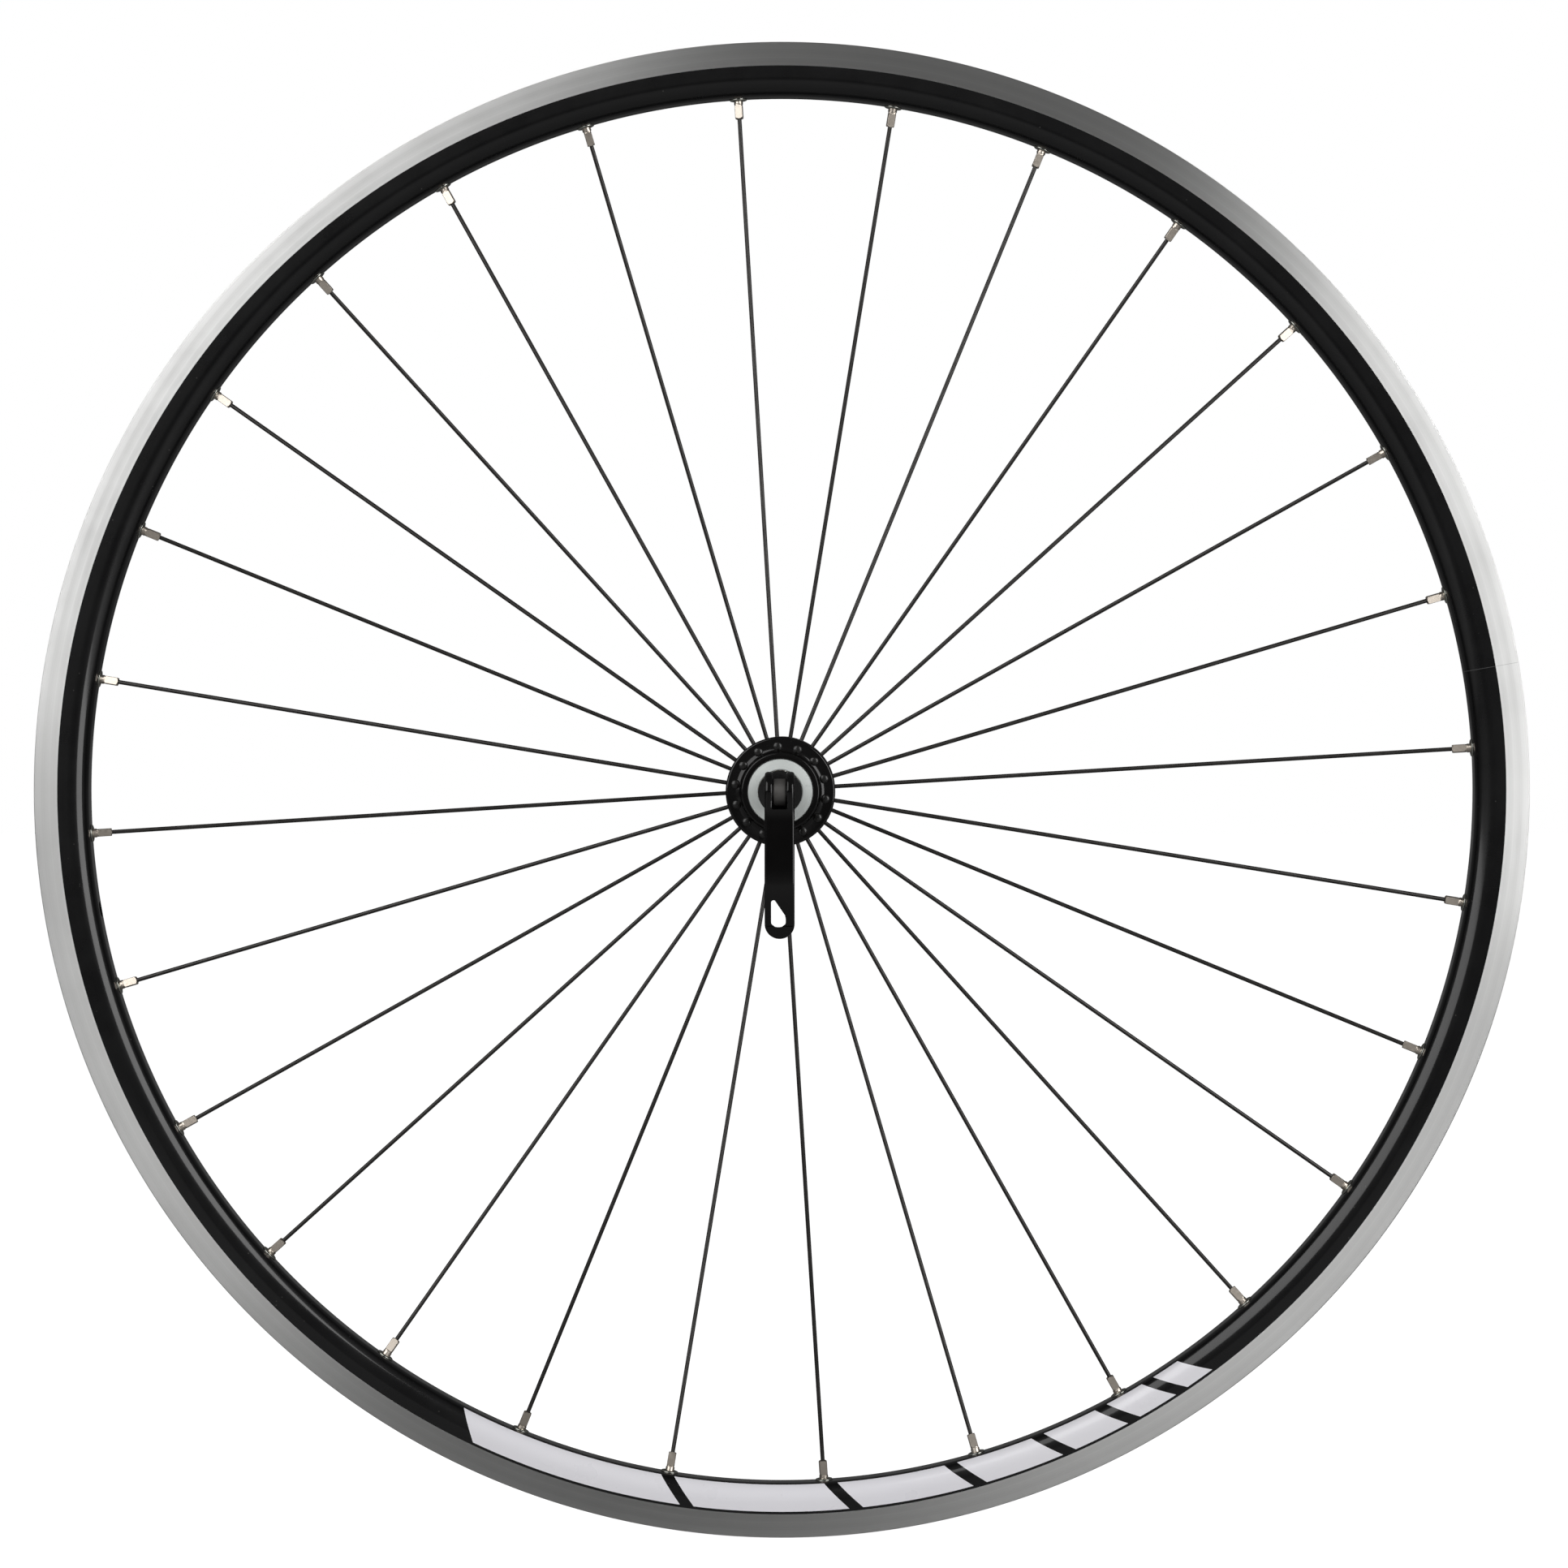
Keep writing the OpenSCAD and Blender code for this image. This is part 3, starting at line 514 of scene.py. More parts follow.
def one_spoke():
    """A spoke of the lever side at angle 0: x runs outwards and y is minus the height over the mid-plane."""
    path = [Vector((hole_circle, -flange_outer - 0.0004, 0)), Vector((hole_circle, -spoke_level - bend, 0))]
    turn = math.pi / 2 + tilt
    centre = Vector((hole_circle + bend, -spoke_level - bend, 0))
    for k in range(1, 8):
        t = turn * k / 7
        path.append(centre + Vector((-math.cos(t), math.sin(t), 0)) * bend)
    last = Vector((nipple_seat, 0, 0)) + Vector((math.cos(tilt), math.sin(tilt), 0)) * 0.001
    path.append(path[-1].lerp(last, 0.5))
    path.append(last)
    wire = draw_wire("spoke_wire", path, spoke_radius, 5)
    head = turn_piece("spoke_head", [(0, -flange_outer - 0.00002), (0.0017, -flange_outer - 0.00002),
                                     (0.00195, -flange_outer - 0.0002), (0.0019, -flange_outer - 0.0004),
                                     (0.0016, -flange_outer - 0.0007), (0.001, -flange_outer - 0.00092),
                                     (0, -flange_outer - 0.001)], 24)
    head.data.transform(Matrix.Translation((hole_circle, 0, 0)))
    wire.data.materials.append(black_oxide)
    head.data.materials.append(head_black)
    return merge("spoke", [wire, head])


head_black, tree, shader, place = material("head_black", Specular_IOR_Level=0.3, Coat_Weight=0.6, Coat_Roughness=0.15)
grain = noise_node(tree, place, 900.0, 3.0)
tree.links.new(mix_colour(tree, grain, (0.003, 0.0027, 0.0025), (0.008, 0.0075, 0.007)), shader.inputs["Base Color"])
tree.links.new(span_node(tree, grain, 0.3, 0.7, 0.3, 0.42), shader.inputs["Roughness"])
black_oxide, tree, shader, place = material("black_oxide", Metallic=0.6, Coat_Weight=0.25, Coat_Roughness=0.25)
grain = noise_node(tree, place, 240.0, 4.0)
rub = noise_node(tree, place, 45.0, 3.0, 0.6)
tree.links.new(mix_colour(tree, rub, (0.02, 0.0185, 0.0175), (0.045, 0.042, 0.039)), shader.inputs["Base Color"])
tree.links.new(span_node(tree, grain, 0.3, 0.7, 0.32, 0.5), shader.inputs["Roughness"])
bump(tree, shader, grain, 0.00001, 0.2)
for side, name in ((1, "left"), (-1, "right")):
    one = one_spoke()
    if side < 0:
        one.data.transform(Matrix.Rotation(math.pi, 4, "X"))
    places = [Matrix.Rotation(-(first_spoke + (2 * i + (1 if side > 0 else 0)) * spoke_step), 4, "Y")
              for i in range(spoke_count // 2)]
    row = repeat("spokes_" + name + "_row", one, places)
    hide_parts("spokes_" + name)
    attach(row, "wheel")

# ---- Stripe film --------------------------------------------------------------------------
# A printed film on the painted side under the lacquer: a row of slanted pale blocks, each
# shorter than the last, at the foot of the lever side and at the top of the far side.
film_start, film_span, blocks, shrink, film_gap = 242.8, 62.0, 7, 0.72, 1.1
unit = (film_span - (blocks - 1) * film_gap) / sum(shrink ** i for i in range(blocks))
film_lift = 0.00005
film_line = [(0.3059, half_width + film_lift), (curve_top, half_width + film_lift)]
film_line += [(r - film_lift * 0.6, y + film_lift * 0.8) for r, y in side_curve(0, 16)[1:13]]
film_white, tree, shader, place = material("stripe_film", Coat_Weight=0.5, Coat_Roughness=0.1)
coat = group_in(tree, lacquer, place, Peel=700.0)
specks = group_in(tree, dust, place, Size=300.0, Amount=0.08)
colour = mix_colour(tree, coat.outputs["Haze"], (0.84, 0.83, 0.88), (0.9, 0.89, 0.92))
colour = mix_colour(tree, math_node(tree, "MULTIPLY", specks.outputs["Mask"], 0.3), colour, (0.3, 0.29, 0.28))
tree.links.new(colour, shader.inputs["Base Color"])
tree.links.new(span_node(tree, coat.outputs["Gloss"], 0.3, 0.7, 0.25, 0.4), shader.inputs["Roughness"])
bump(tree, shader, coat.outputs["Height"], 0.00001, 0.3)
for side, name in ((1, "left"), (-1, "right")):
    sheets = []
    at = film_start
    for i in range(blocks):
        wide = unit * shrink ** i
        hands_off()
        steps = max(4, round(wide / 0.8))
        bpy.ops.mesh.primitive_grid_add(x_subdivisions=len(film_line) - 1, y_subdivisions=steps, size=2)
        o = bpy.context.object
        for v in o.data.vertices:
            k = round((v.co.x + 1) / 2 * (len(film_line) - 1))
            r, y = film_line[k]
            slant = 1.9 * (r - film_line[-1][0]) / (film_line[0][0] - film_line[-1][0])
            a = math.radians(at + wide * (v.co.y + 1) / 2 + slant)
            v.co = radial(a, r, -y)
        sheets.append(o)
        at += wide + film_gap
    film = merge("stripe_film_" + name, sheets)
    pick(film)
    bpy.ops.object.mode_set(mode="EDIT")
    bpy.ops.mesh.select_all(action="SELECT")
    bpy.ops.mesh.normals_make_consistent(inside=False)
    bpy.ops.object.mode_set(mode="OBJECT")
    if film.data.polygons[0].normal.y > 0:
        film.data.flip_normals()
    m = film.modifiers.new("film", "SOLIDIFY")
    m.thickness, m.offset = 0.00004, 1.0
    bpy.ops.object.modifier_apply(modifier=m.name)
    bpy.ops.object.shade_smooth_by_angle(angle=math.radians(40))
    if side < 0:
        film.data.transform(Matrix.Rotation(math.pi, 4, "X"))
    film.data.materials.append(film_white)
    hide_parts("decal_" + name)
    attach(film, "wheel")

# ---- Hub shell ----------------------------------------------------------------------------
# One turned aluminium barrel with two drilled flanges and a collar at each end that holds the
# bearing, finished in the same gloss black as the rim.
hub_half = [(0.0125, 0), (0.0125, 0.022), (0.0127, 0.0255), (0.0135, 0.0288), (0.0149, 0.0315), (0.0162, flange_inner),
            (0.0224, flange_inner), (0.023, flange_inner + 0.0006), (0.023, flange_outer - 0.0006),
            (0.0224, flange_outer), (0.0189, flange_outer), (0.0183, flange_outer + 0.0001),
            (0.0176, flange_outer + 0.00035), (0.017, flange_outer + 0.00075), (0.01665, flange_outer + 0.0014),
            (0.0165, flange_outer + 0.0024), (0.0164, 0.0411), (0.016, 0.0415), (0.0139, 0.0415), (0.01385, 0.0412),
            (0.01385, 0.0385), (0.01323, 0.0385), (0.01323, 0.0316), (0.008, 0.0316), (0.008, 0.0292), (0.0104, 0.0292),
            (0.0104, 0)]
inner = [p for p in hub_half if p[1] > 0]
hub_outline = [(r, -y) for r, y in inner] + [(r, y) for r, y in reversed(inner)]
hub = turn_piece("hub_barrel", soften(hub_outline, 0.0005, 20), 160)
drills = []
for i in range(spoke_count):
    a = first_spoke + i * spoke_step
    y = (flange_inner + flange_outer) / 2 * (-1 if i % 2 else 1)
    drills.append(drill("spoke_drill", 0.00125, 0.006, radial(a, hole_circle, y), (0, 1, 0), 20))
hub = cut(hub, merge("hub_drills", drills), smooth=34)
hub_black, tree, shader, place = material("hub_gloss", Specular_IOR_Level=0.1, Coat_Weight=0.7, Coat_Roughness=0.1)
coat = group_in(tree, lacquer, place, Peel=1600.0)
specks = group_in(tree, dust, place, Size=900.0, Amount=0.1)
colour = mix_colour(tree, coat.outputs["Haze"], (0.0015, 0.0013, 0.0013), (0.003, 0.0026, 0.0026))
colour = mix_colour(tree, math_node(tree, "MULTIPLY", specks.outputs["Mask"], 0.25), colour, (0.3, 0.28, 0.25))
tree.links.new(colour, shader.inputs["Base Color"])
tree.links.new(span_node(tree, coat.outputs["Gloss"], 0.3, 0.7, 0.2, 0.34), shader.inputs["Roughness"])
bump(tree, shader, coat.outputs["Height"], 0.00001, 0.3)
hub.data.materials.clear()
hub.data.materials.append(hub_black)
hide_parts("hub_shell")
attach(hub, "wheel")

# ---- Bearings -----------------------------------------------------------------------------
# Hardened steel cups pressed into the hub, with loose polished balls that run between each cup
# and its cone. All sit behind the dust caps, so the frame's own pieces serve.
race_steel, tree, shader, place = material("race_steel", Metallic=1.0)
turned = group_in(tree, rings, place, Pitch=4200.0, Waver=0.3)
colour = mix_colour(tree, turned.outputs["Tone"], (0.42, 0.42, 0.43), (0.62, 0.62, 0.63))
tree.links.new(colour, shader.inputs["Base Color"])
tree.links.new(span_node(tree, turned.outputs["Tone"], 0.3, 0.7, 0.34, 0.2), shader.inputs["Roughness"])
bump(tree, shader, turned.outputs["Height"], 0.00001, 0.3)
ball_steel, tree, shader, place = material("ball_steel", Metallic=1.0)
film_of_grease = noise_node(tree, place, 260.0, 3.0)
tree.links.new(mix_colour(tree, film_of_grease, (0.6, 0.58, 0.52), (0.82, 0.82, 0.84)), shader.inputs["Base Color"])
tree.links.new(span_node(tree, film_of_grease, 0.3, 0.7, 0.06, 0.18), shader.inputs["Roughness"])
for side in ("left", "right"):
    dress("bearing_cup_" + side, race_steel)
    dress("bearing_balls_" + side, ball_steel)

# ---- Dust caps ----------------------------------------------------------------------------
# Pressed steel rings, satin plated, pushed into the hub's collars over the bearings.
cap_outline = [(0.0092, 0.0399), (0.0098, 0.0399), (0.0098, 0.0404), (0.01318, 0.0404), (0.01318, 0.0385),
               (0.01378, 0.0385), (0.01378, 0.0407), (0.01348, 0.041), (0.0095, 0.041), (0.0092, 0.0407)]
satin, tree, shader, place = material("satin_plate", Metallic=1.0, Anisotropic=0.3, Anisotropic_Rotation=0.25)
turned = group_in(tree, rings, place, Pitch=5200.0, Waver=0.5)
smear = noise_node(tree, place, 320.0, 4.0, 0.6)
colour = mix_colour(tree, turned.outputs["Tone"], (0.74, 0.77, 0.75), (0.88, 0.92, 0.9))
colour = mix_colour(tree, span_node(tree, smear, 0.62, 0.8, 0.0, 0.4), colour, (0.35, 0.35, 0.34))
tree.links.new(colour, shader.inputs["Base Color"])
tree.links.new(span_node(tree, smear, 0.3, 0.7, 0.58, 0.68), shader.inputs["Roughness"])
lay = tree.nodes.new("ShaderNodeTangent")
lay.direction_type, lay.axis = "RADIAL", "Y"
tree.links.new(lay.outputs[0], shader.inputs["Tangent"])
bump(tree, shader, turned.outputs["Height"], 0.00001, 0.25)
for side, name in ((-1, "left"), (1, "right")):
    ring = turn_piece("dust_ring_" + name, soften([(r, side * y) for r, y in cap_outline], 0.00015), 128)
    ring.data.materials.append(satin)
    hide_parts("dust_cap_" + name)
    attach(ring, "wheel")

# ---- Axle, cones, washers and locknuts ----------------------------------------------------
# A hollow steel axle threaded all along. A cone, a lock washer and a locknut are screwed onto
# each end, and the locknut's gripping face bites the fork.
axle_radius = 0.0045
thread = []
y = 0.0535
while y > 0.0465:
    thread += [(axle_radius, y), (axle_radius, y - 0.0002), (axle_radius - 0.00045, y - 0.0005),
               (axle_radius - 0.00045, y - 0.0006), (axle_radius, y - 0.0009)]
    y -= 0.001
half = [(0.0027, 0.054), (axle_radius - 0.0005, 0.054)] + thread
axle_rod = turn_piece("axle_rod", [(r, -y) for r, y in half] + [(r, y) for r, y in reversed(half)], 64)
zinc, tree, shader, place = material("zinc_plate", Metallic=1.0)
grain = noise_node(tree, place, 500.0, 4.0)
bloom = noise_node(tree, place, 150.0, 3.0)
tree.links.new(mix_colour(tree, bloom, (0.34, 0.34, 0.35), (0.6, 0.6, 0.61)), shader.inputs["Base Color"])
tree.links.new(span_node(tree, grain, 0.3, 0.7, 0.24, 0.42), shader.inputs["Roughness"])
bump(tree, shader, grain, 0.00001, 0.25)
axle_rod.data.materials.append(zinc)
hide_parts("axle")
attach(axle_rod, "axle")

locknut_outline = [(0.00452, 0.0455), (0.0080, 0.0455), (0.0083, 0.0458), (0.0083, 0.0496), (0.0079, 0.05),
                   (0.0064, 0.05), (0.00452, 0.05)]
for side, name in ((-1, "left"), (1, "right")):
    dress("cone_" + name, race_steel)
    dress("lock_washer_" + name, zinc)
    nut = turn_piece("locknut_" + name + "_turned", soften([(r, side * y) for r, y in locknut_outline], 0.00012), 96)
    for v in nut.data.vertices:
        r = math.hypot(v.co.x, v.co.z)
        k = round(math.atan2(v.co.z, v.co.x) / (2 * math.pi / 96))
        if r > 0.0065 and abs(v.co.y) > 0.0494 and k % 4 == 0:
            v.co.y -= side * 0.0004
    flats = []
    for s in (-1, 1):
        hands_off()
        bpy.ops.mesh.primitive_cube_add(size=1)
        flats.append(bpy.context.object)
        flats[-1].data.transform(Matrix.Translation((s * 0.0085, side * 0.047, 0))
                                 @ Matrix.Diagonal((0.002, 0.0034, 0.02, 1)))
    nut = cut(nut, merge("flats", flats))
    nut.data.materials.clear()
    nut.data.materials.append(zinc)
    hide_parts("locknut_" + name)
    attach(nut, "axle")

# ---- End cap and cam washer ---------------------------------------------------------------
# A yellow-zinc steel cap with a serrated face that grips the fork, and a black moulded washer
# between it and the lever's cams.
clamp = 0.057
end_cap_outline = [(0.0026, -clamp - 0.0034), (0.0026, -clamp - 0.0023), (0.0074, -clamp - 0.0023), (0.0074, -clamp),
                   (0.0076, -clamp), (0.00925, -clamp), (0.00925, -clamp - 0.003), (0.0089, -clamp - 0.0034)]
end_cap = turn_piece("grip_cap", soften(end_cap_outline, 0.0001), 144)
for v in end_cap.data.vertices:
    r = math.hypot(v.co.x, v.co.z)
    k = round(math.atan2(v.co.z, v.co.x) / (2 * math.pi / 144)) % 4
    if r > 0.0077 and v.co.y > -clamp - 0.0002:
        v.co.y -= (0.0, 0.00022, 0.00045, 0.00022)[k]
    if r > 0.009:
        s = 1 - (0.0, 0.016, 0.034, 0.016)[k]
        v.co.x, v.co.z = v.co.x * s, v.co.z * s
yellow_zinc, tree, shader, place = material("yellow_zinc", Metallic=1.0)
turned = group_in(tree, rings, place, Pitch=4000.0, Waver=0.4)
bloom = noise_node(tree, place, 210.0, 4.0)
colour = mix_colour(tree, bloom, (0.5, 0.44, 0.3), (0.66, 0.63, 0.56))
tree.links.new(colour, shader.inputs["Base Color"])
tree.links.new(span_node(tree, bloom, 0.3, 0.7, 0.25, 0.42), shader.inputs["Roughness"])
bump(tree, shader, turned.outputs["Height"], 0.00001, 0.3)
end_cap.data.materials.append(yellow_zinc)
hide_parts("end_cap")
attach(end_cap, "cam_seat")

washer_back = -clamp - 0.00342
washer_outline = [(0.0027, washer_back), (0.009, washer_back), (0.0091, washer_back - 0.0004),
                  (0.0091, -0.0636), (0.0027, -0.0636)]
washer = turn_piece("cam_seat_washer", soften(washer_outline, 0.0003), 128)
saddle_radius = 0.06
saddle_middle = Vector((0, -0.0621 - saddle_radius, 0))
saddle = drill("saddle_tool", saddle_radius, 0.03, saddle_middle, (1, 0, 0), 512)
washer = cut(washer, saddle)
pick(washer)
m = washer.modifiers.new("edge", "BEVEL")
m.width, m.segments, m.limit_method, m.angle_limit = 0.0002, 2, "ANGLE", math.radians(45)
bpy.ops.object.modifier_apply(modifier=m.name)
bpy.ops.object.shade_smooth_by_angle(angle=math.radians(40))
washer.data.transform(Matrix.Translation((0.0001, 0, -0.0001)))
moulded, tree, shader, place = material("black_moulding")
grain = noise_node(tree, place, 1500.0, 3.0)
specks = group_in(tree, dust, place, Size=900.0, Amount=0.12)
colour = mix_colour(tree, grain, (0.003, 0.003, 0.003), (0.006, 0.0058, 0.0055))
colour = mix_colour(tree, math_node(tree, "MULTIPLY", specks.outputs["Mask"], 0.3), colour, (0.3, 0.28, 0.25))
tree.links.new(colour, shader.inputs["Base Color"])
tree.links.new(span_node(tree, grain, 0.3, 0.7, 0.38, 0.55), shader.inputs["Roughness"])
bump(tree, shader, grain, 0.00001, 0.4)
washer.data.materials.clear()
washer.data.materials.append(moulded)
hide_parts("cam_washer")
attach(washer, "cam_seat")

# ---- Springs ------------------------------------------------------------------------------
# Two conical springs of plated wire. The narrow end of each faces the axle and the wide end sits
# in the cap or the nut, and they centre the skewer when it is loose.
wire_metal, tree, shader, place = material("spring_wire", Metallic=1.0)
grain = noise_node(tree, place, 800.0, 3.0)
tree.links.new(mix_colour(tree, grain, (0.5, 0.5, 0.5), (0.74, 0.74, 0.75)), shader.inputs["Base Color"])
tree.links.new(span_node(tree, grain, 0.3, 0.7, 0.2, 0.36), shader.inputs["Roughness"])
turns, wire = 3.5, 0.0005
for side, name, body in ((-1, "left", "cam_seat"), (1, "right", "nut_thread")):
    points = []
    for k in range(int(turns * 32) + 1):
        t = k / (turns * 32)
        a = -side * 2 * math.pi * turns * t
        points.append(radial(a, 0.00355 + 0.00315 * t, side * (0.05455 + 0.0042 * t)))
    coil = draw_wire("coil_" + name, points, wire, 4)
    coil.data.materials.append(wire_metal)
    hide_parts("spring_" + name)
    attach(coil, body)
    if side > 0:
        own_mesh(coil)

# ---- Skewer rod and its head --------------------------------------------------------------
# A 5 mm steel rod through the hollow axle. One end is threaded for the nut. The other is forged
# to an eye, left dark, which takes the lever's pivot barrel.
pivot = Vector((0, -0.072, 0))
rod_outline = [(0, 0.0695), (0.0020, 0.0695), (0.0025, 0.0689)]
y = 0.0686
while y > 0.055:
    rod_outline += [(0.0025, y), (0.00215, y - 0.0003), (0.00215, y - 0.0004), (0.0025, y - 0.0007)]
    y -= 0.0008
rod_outline += [(0.0025, 0.05), (0.0025, -0.0675), (0, -0.0675)]
rod = turn_piece("skewer_shaft", rod_outline, 48)
eye_outline = [(0.00302, -0.0027), (0.0058, -0.0027), (0.0058, 0.0027), (0.00302, 0.0027)]
eye = turn_piece("skewer_eye", soften(eye_outline, 0.0006), 96)
eye.data.transform(Matrix.Translation(pivot) @ Matrix.Rotation(math.pi / 2, 4, "Z"))
rod_metal, tree, shader, place = material("rod_plate", Metallic=1.0)
grain = noise_node(tree, place, 420.0, 4.0)
tree.links.new(mix_colour(tree, grain, (0.42, 0.42, 0.43), (0.62, 0.62, 0.63)), shader.inputs["Base Color"])
tree.links.new(span_node(tree, grain, 0.3, 0.7, 0.2, 0.36), shader.inputs["Roughness"])
dark_forged, tree, shader, place = material("dark_forging", Metallic=0.35)
scale_skin = noise_node(tree, place, 420.0, 5.0, 0.65)
rubbed = noise_node(tree, place, 140.0, 3.0)
tree.links.new(mix_colour(tree, rubbed, (0.06, 0.058, 0.055), (0.11, 0.105, 0.1)), shader.inputs["Base Color"])
tree.links.new(span_node(tree, scale_skin, 0.3, 0.7, 0.4, 0.58), shader.inputs["Roughness"])
bump(tree, shader, scale_skin, 0.00003, 0.4)
rod.data.materials.append(rod_metal)
eye.data.materials.append(dark_forged)
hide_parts("skewer_rod")
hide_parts("skewer_rod")
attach(rod, "skewer")
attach(eye, "skewer")

pin = turn_piece("pivot_pin", soften([(0, -0.0059), (0.0029, -0.0059), (0.0029, 0.0059), (0, 0.0059)], 0.0003), 64)
pin.data.transform(Matrix.Translation(pivot) @ Matrix.Rotation(math.pi / 2, 4, "Z"))
pin.data.materials.append(zinc)
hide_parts("pivot_barrel")
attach(pin, "skewer")

# ---- Cam lever ----------------------------------------------------------------------------
# Forged aluminium, gloss black. Two ears straddle the skewer's eye, and their backs are spiral
# cams that press the washer. The arm bends in towards a rounded tip with a window through it.
lever_half = 0.0062


def cam(a):
    return 0.0098 - 0.0024 * a / 180


side_line = [(cam(a) * math.sin(math.radians(a)), -cam(a) * math.cos(math.radians(a))) for a in range(0, 181, 4)]
side_line += [(-0.003, 0.0072), (-0.006, 0.0069), (-0.01, 0.0066), (-0.014, 0.00655), (-0.028, 0.00645),
              (-0.037, 0.0063), (-0.041, 0.006), (-0.045, 0.0053), (-0.0505, 0.0039), (-0.062, 0.0004),
              (-0.062, -0.0013), (-0.0505, 0.00148), (-0.045, 0.0026), (-0.04, 0.0032), (-0.034, 0.0033),
              (-0.028, 0.0031), (-0.022, 0.0027), (-0.017, 0.0021), (-0.014, 0.0012), (-0.012, -0.0004),
              (-0.0107, -0.0028)]
side_line += [(0.0098 * math.sin(math.radians(a)), -0.0098 * math.cos(math.radians(a))) for a in range(-50, -2, 5)]


def plate(name, line, low, high, along):
    """A flat outline extruded to a slab. The line is (z, outwards) pairs along x, or (x, z) pairs along y."""
    hands_off()
    bpy.ops.mesh.primitive_circle_add(vertices=len(line), radius=0.01, fill_type="NGON")
    o = bpy.context.object
    o.name = name
    for v, (p, q) in zip(o.data.vertices, line):
        v.co = (low, -q, p) if along == "X" else (p, low, q)
    bpy.ops.object.mode_set(mode="EDIT")
    bpy.ops.mesh.select_all(action="SELECT")
    step = (high - low, 0, 0) if along == "X" else (0, high - low, 0)
    bpy.ops.mesh.extrude_region_move(TRANSFORM_OT_translate={"value": step})
    bpy.ops.mesh.select_all(action="SELECT")
    bpy.ops.mesh.normals_make_consistent(inside=False)
    bpy.ops.object.mode_set(mode="OBJECT")
    return o


def arc(cx, cz, r, a0, a1, n=10):
    return [(cx + r * math.cos(math.radians(a0 + (a1 - a0) * k / n)),
             cz + r * math.sin(math.radians(a0 + (a1 - a0) * k / n))) for k in range(n + 1)]


def round_forging(o, width, segments, near=0.0, foot=-1.0):
    """Rounds the sharp edges: by the full width at the ears, tapering to arm_share of it along the thin arm.
    With near, only the edges that far to each side and above foot, which are the rims of the slot."""
    arm_share, taper, sharp = 0.62, 0.02, math.radians(40)
    meet = {}
    for f in o.data.polygons:
        for key in f.edge_keys:
            meet.setdefault(key, []).append(f.normal)
    weight = o.data.attributes.new("bevel_weight_edge", "FLOAT", "EDGE")
    for e in o.data.edges:
        ends = [o.data.vertices[v].co for v in e.vertices]
        low, high = sorted(v.z for v in ends)
        on_rim = all(abs(abs(v.x) - near) < 0.00002 for v in ends) or not near
        if on_rim and high > foot + 0.0001 and meet[e.key][0].angle(meet[e.key][-1]) > sharp:
            weight.data[e.index].value = min(1, max(arm_share, 1 + (low - slot_foot) / taper))
    pick(o)
    m = o.modifiers.new("edge", "BEVEL")
    m.width, m.segments, m.limit_method = width, segments, "WEIGHT"
    m.use_clamp_overlap = near > 0
    bpy.ops.object.modifier_apply(modifier=m.name)
    o.data.attributes.remove(o.data.attributes["bevel_weight_edge"])
    return o


def block(name, low, high):
    hands_off()
    bpy.ops.mesh.primitive_cube_add(size=1)
    o = bpy.context.object
    o.name = name
    size = Vector(high) - Vector(low)
    o.data.transform(Matrix.Translation((Vector(low) + Vector(high)) / 2) @ Matrix.Diagonal((*size, 1)))
    return o


slot_half, slot_foot = 0.0029, -0.0068
tip_centre = -0.0542
front = arc(0, tip_centre, lever_half, 180, 360, 28)
front += [(0.008, -0.03), (0.008, 0.02), (-0.008, 0.02), (-0.008, -0.03)]
lever = cut(plate("cam_lever_forging", side_line, -lever_half, lever_half, "X"),
            plate("front_tool", front, -0.02, 0.02, "Y"), "INTERSECT")
lever = round_forging(lever, 0.0013, 6)
lever = cut(lever, block("slot_tool", (-slot_half, -0.02, slot_foot), (slot_half, 0.02, 0.02)))
lever = round_forging(lever, 0.0007, 4, near=slot_half, foot=slot_foot)
window = arc(-0.00245, -0.0453, 0.00105, 180, 60, 8) + [(0.0022, -0.0505)] + arc(0.0015, -0.052, 0.001, 20, 0, 2)
window += arc(0.0012, -0.0535, 0.0013, 0, -70, 5) + arc(-0.0005, -0.0505, 0.0050, -72, -108, 6)
window += arc(-0.0022, -0.0535, 0.0013, -110, -180, 5)
lever = cut(lever, plate("window_tool", window, -0.02, 0.02, "Y"))
lever = cut(lever, drill("pivot_tool", 0.00306, 0.03, Vector((0, 0, 0)), (1, 0, 0), 64), smooth=32)
lever.data.transform(Matrix.Translation(pivot))
lever_black, tree, shader, place = material("lever_gloss", Specular_IOR_Level=0.1, Coat_Weight=0.7, Coat_Roughness=0.08)
coat = group_in(tree, lacquer, place, Peel=2200.0)
specks = group_in(tree, dust, place, Size=1100.0, Amount=0.08)
colour = mix_colour(tree, coat.outputs["Haze"], (0.0012, 0.0011, 0.0011), (0.0025, 0.0022, 0.0022))
colour = mix_colour(tree, math_node(tree, "MULTIPLY", specks.outputs["Mask"], 0.2), colour, (0.3, 0.28, 0.25))
tree.links.new(colour, shader.inputs["Base Color"])
tree.links.new(span_node(tree, coat.outputs["Gloss"], 0.3, 0.7, 0.16, 0.3), shader.inputs["Roughness"])
bump(tree, shader, coat.outputs["Height"], 0.00001, 0.2)
lever.data.materials.clear()
lever.data.materials.append(lever_black)
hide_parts("cam_lever")
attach(lever, "lever")

